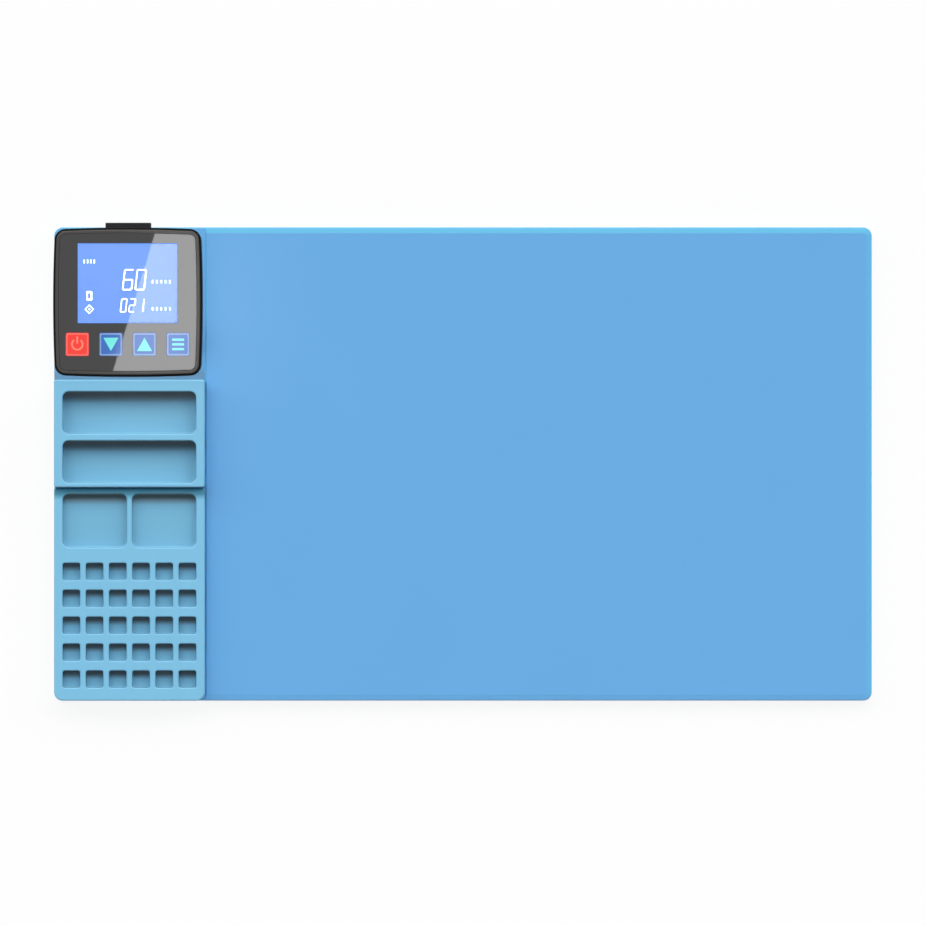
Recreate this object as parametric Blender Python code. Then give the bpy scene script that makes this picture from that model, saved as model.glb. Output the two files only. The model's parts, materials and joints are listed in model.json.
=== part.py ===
"""Heated work pad for opening phones and tablets: a silicone mat with a heater inside,
two moulded silicone trays down its left side and a controller box on its back left corner.

Metres, +Z up, +X to the right, +Y to the back. The origin is the middle of the mat's underside.
Run with: blender --background --python part.py
"""

import math

import bmesh
import bpy
from mathutils import Vector

# Clearances
SEAT_GAP = 0.0003
KEY_CLEARANCE = 0.0003
STACK_CLEARANCE = 0.0010
BOARD_CLEARANCE = 0.0006

# Heating mat, from the underside up: base sheet, felt, carrier, element, spreader, top skin
MAT_LENGTH = 0.380
MAT_WIDTH = 0.220
MAT_CORNER = 0.0040
MAT_EDGE_ROUND = 0.0015
MAT_RIM = 0.0080
BASE_SHEET = 0.0012
FELT_THICKNESS = 0.0008
CARRIER_THICKNESS = 0.0004
ELEMENT_THICKNESS = 0.0003
SPREADER_THICKNESS = 0.0005
TOP_SKIN = 0.0011
SEAT_RECESS = 0.0006
POCKET_CORNER = 0.0060

# Heater
TERMINAL_BAY = 0.0140
ELEMENT_MARGIN = 0.0070
TRACK_WIDTH = 0.0026
TRACK_PITCH = 0.0096
TRACK_TAIL = 0.0050
SENSOR_LENGTH = 0.0060
SENSOR_WIDTH = 0.0040
SENSOR_THICKNESS = 0.0013
SENSOR_CORNER = 0.0010
SENSOR_LEAD_SPACING = 0.0020
CUTOUT_LENGTH = 0.0120
CUTOUT_WIDTH = 0.0050
CUTOUT_THICKNESS = 0.0022
CUTOUT_CORNER = 0.0010
CUTOUT_OFFSET = 0.0300
LEAD_DIAMETER = 0.0014
LEAD_PITCH = 0.0035
LEAD_BEND = 0.0028
LEADS = 4
LEAD_ROW_OFFSET = 0.0115

# Trays
TRAY_WIDTH = 0.0700
TRAY_SIDE_WALL = 0.0040
TRAY_FLOOR = 0.0012
TRAY_EDGE_ROUND = 0.0006
TRAY_CORNER = 0.0010
TRAY_FRONT_CORNER = 0.0040
MOUTH_ROUND = 0.0006
TRAY_TO_BOX = 0.0012
TOOL_POCKETS = 2
TOOL_POCKET_DEPTH = 0.0070
TOOL_POCKET_LENGTH = 0.0197
TOOL_POCKET_CORNER = 0.0028
TOOL_BACK_WALL = 0.0055
TOOL_RIB = 0.0031
TOOL_FRONT_WALL = 0.0020
SQUARE_POCKETS = 2
SQUARE_LENGTH = 0.0250
SQUARE_CORNER = 0.0030
SQUARE_RIB = 0.0024
SQUARE_BACK_WALL = 0.0027
SCREW_POCKET_DEPTH = 0.0040
CELL_COLUMNS = 6
CELL_LENGTH = 0.0080
CELL_CORNER = 0.0010
CELL_COLUMN_RIB = 0.0027
CELL_ROW_RIB = 0.0045
CELL_BACK_WALL = 0.0072
CELL_FRONT_WALL = 0.0050

# Controller shells
BOX_SIZE = 0.0692
BOX_SET_BACK = 0.0004
BOX_BOW = 0.0006
BOX_CORNER = 0.0053
BOX_WALL = 0.0020
BOX_FLOOR = 0.0020
FOOT_CHAMFER = 0.0008
BRIDGE_OVER_INLET = 0.0016
LIP_HEIGHT = 0.0012
LIP_THICKNESS = 0.0008
FACE_THICKNESS = 0.0016
RIM_BEVEL_WIDTH = 0.0016
RIM_BEVEL_DROP = 0.0018
BOSS_WALL = 0.0018
BOSS_INSET = 0.0050
BOSS_SET_BACK = 0.0010
CLAMP_SHANK_RADIUS = 0.0015
CLAMP_SCREW_BITE = 0.0080
CLAMP_HEAD_RADIUS = 0.0026
CLAMP_HEAD_HEIGHT = 0.0010
CLAMP_PLATE = 0.0015
CLAMP_PLATE_MARGIN = 0.0034
SLOT_END_ROUNDING = 0.45
GROMMET_WALL = 0.0007
GROMMET_FLANGE = 0.0004
GROMMET_RISE = 0.0008

# Front panel, window and keys
PANEL_INSET = 0.0024
PANEL_THICKNESS = 0.0010
WINDOW_SIDE_MARGIN = 0.0090
WINDOW_BACK_MARGIN = 0.0049
WINDOW_TO_KEYS = 0.0046
WINDOW_CORNER = 0.0004
KEY_SPACING = 0.0051
KEY_CORNER = 0.0007
KEY_SIDE_MARGIN = 0.0036
KEY_FRONT_MARGIN = 0.0074
KEY_PROUD = 0.0004
KEY_EDGE_ROUND = 0.0003
KEY_FLANGE_WIDTH = 0.0006
KEY_FLANGE_THICKNESS = 0.0010
KEY_TRAVEL = 0.0005

# Display module and its board
GLASS_THICKNESS = 0.0022
GLASS_MARGIN = 0.0015
HOLDER_WALL = 0.0009
BOARD_THICKNESS = 0.0016
POST_RADIUS = 0.0022
POST_BACK_GAP = 0.0060
SWITCH_SIZE = 0.0060
SWITCH_HEIGHT = 0.0035
PLUNGER_RADIUS = 0.0016
PLUNGER_ENGAGEMENT = 0.0009
CHIP_LENGTH = 0.0100
CHIP_WIDTH = 0.0060
CHIP_HEIGHT = 0.0015

# Power board and its parts
STANDOFF_HEIGHT = 0.0030
STANDOFF_RADIUS = 0.0022
STANDOFF_INSET = 0.0027
TALL_PART = 0.0100
HEADROOM = 0.0026
BOARD_TO_PINS = 0.0015
FUSE_RADIUS = 0.0024
FUSE_LENGTH = 0.0150
FUSE_CAP_LENGTH = 0.0040
CLIP_THICKNESS = 0.0005
CLIP_WIDTH = 0.0024
FILTER_LENGTH = 0.0110
FILTER_WIDTH = 0.0055
FILTER_CORNER = 0.0007
CORE_LENGTH = 0.0120
CORE_WIDTH = 0.0050
CORE_LEG = 0.0025
CORE_YOKE = 0.0025
COIL_THICKNESS = 0.0016
SMOOTHING_RADIUS = 0.0036
SMOOTHING_EDGE = 0.0004
BUZZER_RADIUS = 0.0042
BUZZER_HEIGHT = 0.0045
BUZZER_HOLE = 0.0010
RELAY_LENGTH = 0.0150
RELAY_WIDTH = 0.0080
RELAY_CORNER = 0.0005
TERMINAL_DEPTH = 0.0080
TERMINAL_HEIGHT = 0.0080
TERMINAL_HOLE_HEIGHT = 0.0034
TERMINAL_SCREW_RADIUS = 0.0012
TERMINAL_SCREW_DEPTH = 0.0015
LEAD_ENTRY = 0.0020
LINK_WIDTH = 0.0025
LINK_LENGTH = 0.0120
SMALL_SHANK_RADIUS = 0.0008
SMALL_HEAD_RADIUS = 0.0017
SMALL_HEAD_HEIGHT = 0.0012
SMALL_SCREW_BITE = 0.0022

# Mains inlet, a figure-eight socket with two pins
INLET_WIDTH = 0.0212
INLET_HEIGHT = 0.0120
INLET_CORNER = 0.0012
INLET_PROUD = 0.0024
INLET_DEPTH = 0.0155
INLET_FLANGE = 0.0019
INLET_FLANGE_THICKNESS = 0.0016
INLET_LIFT = 0.0006
LOBE_RADIUS = 0.0041
LOBE_WAIST = 0.0056
SOCKET_DEPTH = 0.0120
PIN_SPACING = 0.0086
PIN_RADIUS = 0.0012
PIN_SET_BACK = 0.0020
PIN_TIP = 0.0006
PIN_TAIL = 0.0025
STOP_WIDTH = 0.0030
STOP_THICKNESS = 0.0012
INLET_WIRE = 0.0012
INLET_WIRE_LAP = 0.0025

# Steps on a quarter turn, and on a full turn
ARC_STEPS = 4
SMALL_ARC_STEPS = 2
ROUND_STEPS = 16
SMALL_ROUND_STEPS = 12

# Heights in the mat
felt_bottom = BASE_SHEET + SEAT_GAP
carrier_bottom = felt_bottom + FELT_THICKNESS + SEAT_GAP
lead_height = max(BASE_SHEET, CLAMP_PLATE) + SEAT_GAP + LEAD_DIAMETER / 2
element_bottom = max(carrier_bottom + CARRIER_THICKNESS, lead_height + LEAD_DIAMETER / 2) + SEAT_GAP
spreader_bottom = element_bottom + ELEMENT_THICKNESS + SEAT_GAP
pocket_ceiling = spreader_bottom + SPREADER_THICKNESS + SEAT_GAP
mat_top = pocket_ceiling + TOP_SKIN
seat_top = mat_top - SEAT_RECESS

# Plan of the mat
mat_left = -MAT_LENGTH / 2
mat_back = MAT_WIDTH / 2
mat_front = -MAT_WIDTH / 2
seat_width = max(TRAY_WIDTH, BOX_SIZE) + SEAT_GAP
pocket_left = mat_left + max(TRAY_WIDTH, BOX_SIZE) + MAT_RIM
pocket_right = MAT_LENGTH / 2 - MAT_RIM
pocket_width = MAT_WIDTH - 2 * MAT_RIM
stack_left = pocket_left + TERMINAL_BAY
stack_right = pocket_right - STACK_CLEARANCE
stack_width = pocket_width - 2 * STACK_CLEARANCE

# Heights in the controller, from the underside of its base shell
board_bottom = BOX_FLOOR + STANDOFF_HEIGHT + SEAT_GAP
parts_bottom = board_bottom + BOARD_THICKNESS + SEAT_GAP
display_board_bottom = parts_bottom + TALL_PART + HEADROOM
display_board_top = display_board_bottom + BOARD_THICKNESS
module_bottom = display_board_top + SEAT_GAP
switch_top = module_bottom + SWITCH_HEIGHT
flange_bottom = switch_top + KEY_TRAVEL + SEAT_GAP
face_bottom = flange_bottom + KEY_FLANGE_THICKNESS + SEAT_GAP
face_top = face_bottom + FACE_THICKNESS
panel_bottom = face_top + SEAT_GAP
panel_top = panel_bottom + PANEL_THICKNESS
inlet_middle = BOX_FLOOR + INLET_LIFT + INLET_HEIGHT / 2
parting = inlet_middle + INLET_HEIGHT / 2 + SEAT_GAP + BRIDGE_OVER_INLET
groove_top = parting + LIP_HEIGHT + SEAT_GAP
base_boss_top = parting - BOSS_SET_BACK
cover_boss_bottom = groove_top + BOSS_SET_BACK

# Plan of the controller, from its own middle
box_back = mat_back - BOX_SET_BACK
box_middle = Vector((mat_left + BOX_SIZE / 2, box_back - BOX_SIZE / 2, seat_top + SEAT_GAP))
inner_half = BOX_SIZE / 2 - BOX_BOW - BOX_WALL
boss_radius = CLAMP_SHANK_RADIUS + BOSS_WALL
boss_offset = BOX_SIZE / 2 - BOSS_INSET
four_corners = ((1, -1), (1, 1), (-1, 1), (-1, -1))
boss_places = [(a * boss_offset, b * boss_offset) for a, b in four_corners]
between_bosses = boss_offset - boss_radius - BOARD_CLEARANCE
board_reach = inner_half - BOARD_CLEARANCE

# Display window, module and keys, in the controller's plan
panel_half = BOX_SIZE / 2 - PANEL_INSET
key_names = ("power_key", "down_key", "up_key", "mode_key")
key_row = 2 * (panel_half - KEY_SIDE_MARGIN)
key_size = (key_row - (len(key_names) - 1) * KEY_SPACING) / len(key_names)
key_y = KEY_FRONT_MARGIN + key_size / 2 - panel_half
key_places = [
    ((key_row - key_size) * (index / (len(key_names) - 1) - 1 / 2), key_y)
    for index in range(len(key_names))
]
key_opening = key_size + 2 * KEY_CLEARANCE
key_flange = key_opening + 2 * KEY_FLANGE_WIDTH
window_width = 2 * (panel_half - WINDOW_SIDE_MARGIN)
window_length = panel_half - WINDOW_BACK_MARGIN - WINDOW_TO_KEYS - key_size / 2 - key_y
window_y = panel_half - WINDOW_BACK_MARGIN - window_length / 2
glass_width = window_width + 2 * GLASS_MARGIN
glass_length = window_length + 2 * GLASS_MARGIN
holder_width = glass_width + 2 * (SEAT_GAP + HOLDER_WALL)
holder_length = glass_length + 2 * (SEAT_GAP + HOLDER_WALL)
post_x = (holder_width / 2 + inner_half) / 2
post_back = boss_offset - boss_radius - POST_BACK_GAP
post_front = key_y + key_flange / 2 + POST_RADIUS + SEAT_GAP
post_places = [(a * post_x, y) for a in (-1, 1) for y in (post_front, post_back)]
display_screw_places = (post_places[0], post_places[3])

# Lead passage through the mat and the base shell, and the power board beside it
passage_width = LEAD_DIAMETER + 2 * SEAT_GAP
slot_width = passage_width + 2 * (GROMMET_WALL + SEAT_GAP)
lead_x = inner_half - slot_width / 2 - GROMMET_FLANGE
lead_rows = [(index - (LEADS - 1) / 2) * LEAD_PITCH - LEAD_ROW_OFFSET for index in range(LEADS)]
passage_length = (LEADS - 1) * LEAD_PITCH + passage_width
slot_length = passage_length + slot_width - passage_width
inlet_front = BOX_SIZE / 2 + INLET_PROUD
inlet_rear = inlet_front - INLET_DEPTH
pin_end = inlet_rear - PIN_TAIL
power_left = -board_reach
power_right = lead_x - slot_width / 2 - GROMMET_FLANGE - SEAT_GAP
power_back = pin_end - BOARD_TO_PINS
power_front = -between_bosses
standoff_places = [
    (x, y)
    for x in (power_left + STANDOFF_INSET, power_right - STANDOFF_INSET)
    for y in (power_front + STANDOFF_INSET, power_back - STANDOFF_INSET)
]
board_screw_places = (standoff_places[0], standoff_places[3])
terminal_right = min(power_right, lead_x - LEAD_BEND) - SEAT_GAP
terminal_length = LEADS * LEAD_PITCH + LEAD_PITCH / 2

# Trays
tool_tray_back = box_back - BOX_SIZE - TRAY_TO_BOX
tool_tray_length = (
    TOOL_BACK_WALL + TOOL_POCKETS * TOOL_POCKET_LENGTH + (TOOL_POCKETS - 1) * TOOL_RIB + TOOL_FRONT_WALL
)
screw_tray_back = tool_tray_back - tool_tray_length - SEAT_GAP
tray_bottom = seat_top + SEAT_GAP
tray_middle = mat_left + TRAY_WIDTH / 2
pocket_span = TRAY_WIDTH - 2 * TRAY_SIDE_WALL


def rectangle(width, depth, centre=(0, 0)):
    return [(centre[0] + a * width / 2, centre[1] + b * depth / 2) for a, b in four_corners]


def circle(radius, centre=(0, 0), steps=ROUND_STEPS):
    angles = [2 * math.pi * step / steps for step in range(steps)]
    return [(centre[0] + radius * math.cos(a), centre[1] + radius * math.sin(a)) for a in angles]


def rounded_rectangle(width, depth, radius, centre=(0, 0), steps=ARC_STEPS):
    """A rectangle with one radius, or one for each corner from the front right anticlockwise."""
    radii = radius if isinstance(radius, tuple) else (radius,) * 4
    points = []
    for quarter, ((a, b), r) in enumerate(zip(four_corners, radii)):
        for step in range(steps + 1):
            angle = math.radians(90) * (quarter - 1 + step / steps)
            x = a * (width / 2 - r) + r * math.cos(angle)
            y = b * (depth / 2 - r) + r * math.sin(angle)
            points.append((centre[0] + x, centre[1] + y))
    return points


def cross_outline(reach, arm):
    """A square board of half-width reach whose corners are notched back to arm."""
    points = []
    for a, b in four_corners:
        corner = [(a * arm, b * reach), (a * arm, b * arm), (a * reach, b * arm)]
        points += corner if a * b < 0 else reversed(corner)
    return points


def bow_at(along):
    """How far the bowed side of the controller stands out, at a distance from its middle."""
    return BOX_BOW * (1 - (along / (BOX_SIZE / 2 - BOX_BOW - BOX_CORNER)) ** 2)


def box_outline(inset=0.0, side_steps=6):
    """The controller's outline, drawn in by inset: a rounded square whose sides bow outwards."""
    run = BOX_SIZE / 2 - BOX_BOW - BOX_CORNER
    radius = BOX_CORNER - inset
    points = []
    for quarter in range(4):
        side = []
        for step in range(1, side_steps):
            along = run * (2 * step / side_steps - 1)
            side.append((run + radius + bow_at(along), along))
        for step in range(ARC_STEPS + 1):
            angle = math.radians(90) * step / ARC_STEPS
            side.append((run + radius * math.cos(angle), run + radius * math.sin(angle)))
        for x, y in side:
            for _ in range(quarter):
                x, y = -y, x
            points.append((x, y))
    return points


def figure_eight(radius, spacing, waist, steps=8):
    """Two round lobes joined by a waist, as the mouth of the inlet is."""
    joint = math.asin(waist / 2 / radius)
    sweep = 2 * (math.pi - joint)
    points = []
    for side, start in ((1, joint - math.pi), (-1, joint)):
        for step in range(steps + 1):
            angle = start + sweep * step / steps
            points.append((side * spacing / 2 + radius * math.cos(angle), radius * math.sin(angle)))
    return points


def at(outline, height):
    return [(x, y, height) for x, y in outline]


def prism(outline, bottom, top):
    return [at(outline, bottom), at(outline, top)]


def turned(profile, centre=(0, 0), steps=ROUND_STEPS):
    """Rings of a turned solid: profile holds (radius, height) pairs from one end to the other."""
    return [at(circle(radius, centre, steps), height) for radius, height in profile]


def rounded_block(outline_of, bottom, top, rounding, steps=3):
    """Rings of a block with a rounded top edge. outline_of gives its outline for an inset."""
    rings = [at(outline_of(0.0), bottom)]
    for step in range(steps + 1):
        angle = math.radians(90) * step / steps
        inset = rounding * (1 - math.cos(angle))
        rings.append(at(outline_of(inset), top - rounding * (1 - math.sin(angle))))
    return rings


def pocket(width, length, radius, centre, floor, mouth, steps):
    """The space of one moulded pocket, whose walls flare at the mouth."""
    flare = rounded_rectangle(
        width + 2 * MOUTH_ROUND, length + 2 * MOUTH_ROUND, radius + MOUTH_ROUND, centre, steps
    )
    walls = rounded_rectangle(width, length, radius, centre, steps)
    return [
        at(walls, floor),
        at(walls, mouth - MOUTH_ROUND),
        at(flare, mouth),
        at(flare, mouth + MOUTH_ROUND),
    ]


def finish(name, colour, roughness, metallic=0.0):
    material = bpy.data.materials.new(name)
    material.use_nodes = True
    shader = material.node_tree.nodes["Principled BSDF"]
    shader.inputs["Base Color"].default_value = (*colour, 1.0)
    shader.inputs["Roughness"].default_value = roughness
    shader.inputs["Metallic"].default_value = metallic
    return material


def place(item, material, parent, location, turn):
    """Links a new object, gives it its finish and puts it on its parent."""
    bpy.context.scene.collection.objects.link(item)
    if material:
        item.data.materials.append(material)
    item.parent = parent
    item.location = location
    item.rotation_euler = turn
    return item


def solid(name, bodies, material=None, parent=None, location=(0, 0, 0), turn=(0, 0, 0)):
    """One object of closed lofts. A body is a list of rings, each with as many points as the last."""
    shape = bmesh.new()
    for rings in bodies:
        made = [[shape.verts.new(point) for point in ring] for ring in rings]
        for lower, upper in zip(made, made[1:]):
            for here in range(len(lower)):
                there = (here + 1) % len(lower)
                shape.faces.new((lower[here], lower[there], upper[there], upper[here]))
        shape.faces.new(reversed(made[0]))
        shape.faces.new(made[-1])
    bmesh.ops.recalc_face_normals(shape, faces=shape.faces)
    mesh = bpy.data.meshes.new(name)
    shape.to_mesh(mesh)
    shape.free()
    mesh.shade_smooth()
    mesh.set_sharp_from_angle(angle=math.radians(35))
    return place(bpy.data.objects.new(name, mesh), material, parent, location, turn)


def change(target, operation, bodies, parent=None, location=(0, 0, 0), turn=(0, 0, 0)):
    """Cuts a shape from the target or joins one to it. The shape itself is no part of the model."""
    name = f"{target.name}_{operation.lower()}_{len(target.modifiers)}"
    shape = solid(name, bodies, None, parent, location, turn)
    shape.hide_render = True
    shape.display_type = "WIRE"
    step = target.modifiers.new(name, "BOOLEAN")
    step.operation = operation
    step.object = shape


def cut(target, bodies, parent=None, location=(0, 0, 0), turn=(0, 0, 0)):
    change(target, "DIFFERENCE", bodies, parent, location, turn)


def join(target, bodies, parent=None, location=(0, 0, 0), turn=(0, 0, 0)):
    change(target, "UNION", bodies, parent, location, turn)


def rounded_route(points, bend, steps=3):
    """The points of a route whose corners are turned on arcs of one bend radius."""
    route = [Vector(points[0])]
    for before, corner, after in zip(points, points[1:], points[2:]):
        corner = Vector(corner)
        back = (Vector(before) - corner).normalized()
        ahead = (Vector(after) - corner).normalized()
        half = back.angle(ahead) / 2
        centre = corner + (back + ahead).normalized() * bend / math.sin(half)
        start = (corner + back * bend / math.tan(half) - centre).normalized()
        end = (corner + ahead * bend / math.tan(half) - centre).normalized()
        for step in range(steps + 1):
            route.append(centre + start.slerp(end, step / steps) * bend)
    route.append(Vector(points[-1]))
    return route


def wires(name, routes, diameter, material, parent=None):
    """Round insulated wires, one object for each route."""
    for number, route in enumerate(routes, start=1):
        curve = bpy.data.curves.new(f"{name}_{number}", "CURVE")
        curve.dimensions = "3D"
        curve.bevel_depth = diameter / 2
        curve.bevel_resolution = 2
        curve.use_fill_caps = True
        spline = curve.splines.new("POLY")
        spline.points.add(len(route) - 1)
        for point, position in zip(spline.points, route):
            point.co = (*position, 1.0)
        place(bpy.data.objects.new(curve.name, curve), material, parent, (0, 0, 0), (0, 0, 0))


def copies(name, bodies, material, parent=None, location=(0, 0, 0), turn=(0, 0, 0)):
    """One numbered object for each body of a repeated piece."""
    return [
        solid(f"{name}_{number}", [body], material, parent, location, turn)
        for number, body in enumerate(bodies, start=1)
    ]


for leftover in list(bpy.data.objects):
    bpy.data.objects.remove(leftover, do_unlink=True)

mat_silicone = finish("mat_silicone", (0.144, 0.407, 0.753), 0.55)
tray_silicone = finish("tray_silicone", (0.212, 0.533, 0.753), 0.55)
white_felt = finish("white_felt", (0.72, 0.70, 0.64), 0.95)
amber_film = finish("amber_film", (0.55, 0.22, 0.04), 0.35)
etched_foil = finish("etched_foil", (0.62, 0.56, 0.48), 0.35, 1.0)
aluminium = finish("aluminium", (0.78, 0.79, 0.80), 0.30, 1.0)
black_plastic = finish("black_plastic", (0.020, 0.020, 0.022), 0.42)
black_rubber = finish("black_rubber", (0.015, 0.015, 0.015), 0.80)
panel_gloss = finish("panel_gloss", (0.068, 0.068, 0.070), 0.08)
clear_lens = finish("clear_lens", (0.80, 0.86, 0.95), 0.03)
display_blue = finish("display_blue", (0.212, 0.376, 1.0), 0.20)
white_plastic = finish("white_plastic", (0.80, 0.80, 0.78), 0.40)
red_key = finish("red_key", (0.90, 0.10, 0.08), 0.30)
blue_key = finish("blue_key", (0.09, 0.21, 0.52), 0.30)
circuit_board = finish("circuit_board", (0.02, 0.19, 0.09), 0.45)
steel = finish("steel", (0.60, 0.60, 0.60), 0.30, 1.0)
brass = finish("brass", (0.78, 0.60, 0.28), 0.28, 1.0)
relay_blue = finish("relay_blue", (0.04, 0.16, 0.48), 0.40)
capacitor_yellow = finish("capacitor_yellow", (0.78, 0.55, 0.08), 0.45)
ferrite = finish("ferrite", (0.09, 0.085, 0.08), 0.70)
winding_tape = finish("winding_tape", (0.75, 0.62, 0.10), 0.45)
terminal_green = finish("terminal_green", (0.05, 0.32, 0.12), 0.45)
fuse_glass = finish("fuse_glass", (0.75, 0.80, 0.80), 0.05)
lead_red = finish("lead_red", (0.60, 0.05, 0.04), 0.50)
lead_white = finish("lead_white", (0.75, 0.74, 0.70), 0.50)

controller = bpy.data.objects.new("controller", None)
controller.location = box_middle
bpy.context.scene.collection.objects.link(controller)
ACROSS_BACK = (math.radians(90), 0, 0)


def screw_holes(places, radius, bottom, top):
    return [prism(circle(radius, centre), bottom, top) for centre in places]


# The silicone mat: one moulding with a pocket for the heater, open below, and along its left side
# a shallow seat that locates the trays and the controller
def mat_outline(inset):
    return rounded_rectangle(MAT_LENGTH - 2 * inset, MAT_WIDTH - 2 * inset, MAT_CORNER - inset)


def pocket_outline(inset):
    middle = ((pocket_left + pocket_right) / 2, 0)
    length = pocket_right - pocket_left - 2 * inset
    return rounded_rectangle(length, pocket_width - 2 * inset, POCKET_CORNER - inset, middle)


def clamp_outline(clearance):
    side = 2 * (boss_offset + CLAMP_PLATE_MARGIN + clearance)
    return rounded_rectangle(side, side, CLAMP_PLATE_MARGIN + clearance)


def make_mat():
    body = rounded_block(mat_outline, 0, mat_top, MAT_EDGE_ROUND)
    mat = solid("work_mat", [body], mat_silicone)
    cut(mat, [prism(pocket_outline(0), -TOP_SKIN, pocket_ceiling)])
    seat = rectangle(2 * seat_width, 2 * MAT_WIDTH, (mat_left, 0))
    cut(mat, [prism(seat, seat_top, mat_top + TOP_SKIN)])
    under_box = (box_middle.x, box_middle.y, 0)
    recess = prism(clamp_outline(SEAT_GAP), -TOP_SKIN, CLAMP_PLATE + SEAT_GAP)
    cut(mat, [recess], location=under_box)
    holes = screw_holes(boss_places, CLAMP_SHANK_RADIUS + SEAT_GAP, 0, mat_top + TOP_SKIN)
    cut(mat, holes, location=under_box)
    tunnel_bottom = lead_height - passage_width / 2
    well_left = lead_x - passage_width / 2
    well_right = lead_x + max(LEAD_BEND, passage_width / 2)
    well = rectangle(
        well_right - well_left, passage_length, ((well_left + well_right) / 2, -LEAD_ROW_OFFSET)
    )
    cut(mat, [prism(well, tunnel_bottom, mat_top + TOP_SKIN)], location=under_box)
    tunnel_right = pocket_left + STACK_CLEARANCE - box_middle.x
    tunnel_left = well_right - SEAT_GAP
    tunnel = rectangle(
        tunnel_right - tunnel_left,
        passage_length - SEAT_GAP,
        ((tunnel_left + tunnel_right) / 2, -LEAD_ROW_OFFSET),
    )
    cut(mat, [prism(tunnel, tunnel_bottom, lead_height + passage_width / 2)], location=under_box)
    solid("base_sheet", [prism(pocket_outline(SEAT_GAP), 0, BASE_SHEET)], mat_silicone)


# The heater, a stack of flat layers in the pocket
def stack_outline():
    middle = ((stack_left + stack_right) / 2, 0)
    return rounded_rectangle(stack_right - stack_left, stack_width, POCKET_CORNER, middle)


def notched_layer(name, bottom, thickness, material):
    """A layer whose left edge makes room for the temperature sensor."""
    layer = solid(name, [prism(stack_outline(), bottom, bottom + thickness)], material)
    notch = rectangle(2 * (SENSOR_LENGTH + SEAT_GAP), SENSOR_WIDTH + 2 * SEAT_GAP, (stack_left, 0))
    cut(layer, [prism(notch, bottom - SEAT_GAP, bottom + thickness + SEAT_GAP)])


def element_route():
    """The middle line of the etched track: to and fro across the mat, both ends at the left."""
    turn = TRACK_PITCH / 2
    first_left = stack_left + ELEMENT_MARGIN + turn
    last_right = stack_right - ELEMENT_MARGIN - turn
    rows = 2 * int((stack_width - 2 * ELEMENT_MARGIN) / TRACK_PITCH / 2)
    front = -turn * (rows - 1)
    route = [Vector((stack_left - TRACK_TAIL, front))]
    for row in range(rows - 1):
        side = 1 if row % 2 == 0 else -1
        end = last_right if side > 0 else first_left
        y = front + row * TRACK_PITCH
        for step in range(ARC_STEPS + 1):
            angle = math.radians(180 * step / ARC_STEPS - 90)
            route.append(Vector((end + side * turn * math.cos(angle), y + turn + turn * math.sin(angle))))
    route.append(Vector((stack_left - TRACK_TAIL, -front)))
    return route


def ribbon(route, width, bottom, top):
    """Rings of a flat strip of one width along a route in plan."""
    rings = []
    for index, point in enumerate(route):
        before = route[max(index - 1, 0)]
        after = route[min(index + 1, len(route) - 1)]
        back = (point - before).normalized() if index > 0 else (after - point).normalized()
        ahead = (after - point).normalized() if index < len(route) - 1 else back
        along = (back + ahead).normalized()
        side = Vector((-along.y, along.x)) * width / 2 / along.dot(ahead)
        left = point + side
        right = point - side
        rings.append([(*left, bottom), (*right, bottom), (*right, top), (*left, top)])
    return rings


def make_heater():
    notched_layer("insulation_felt", felt_bottom, FELT_THICKNESS, white_felt)
    notched_layer("element_carrier", carrier_bottom, CARRIER_THICKNESS, amber_film)
    spreader = prism(stack_outline(), spreader_bottom, spreader_bottom + SPREADER_THICKNESS)
    solid("heat_spreader", [spreader], aluminium)
    route = element_route()
    strip = ribbon(route, TRACK_WIDTH, element_bottom, element_bottom + ELEMENT_THICKNESS)
    solid("heating_element", [strip], etched_foil)
    sensor = rounded_rectangle(SENSOR_LENGTH, SENSOR_WIDTH, SENSOR_CORNER)
    height = lead_height - SENSOR_THICKNESS / 2
    middle = (stack_left + SENSOR_LENGTH / 2, 0, 0)
    body = prism(sensor, height, height + SENSOR_THICKNESS)
    solid("temperature_sensor", [body], white_plastic, location=middle)
    make_leads(route[0], route[-1])


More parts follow.
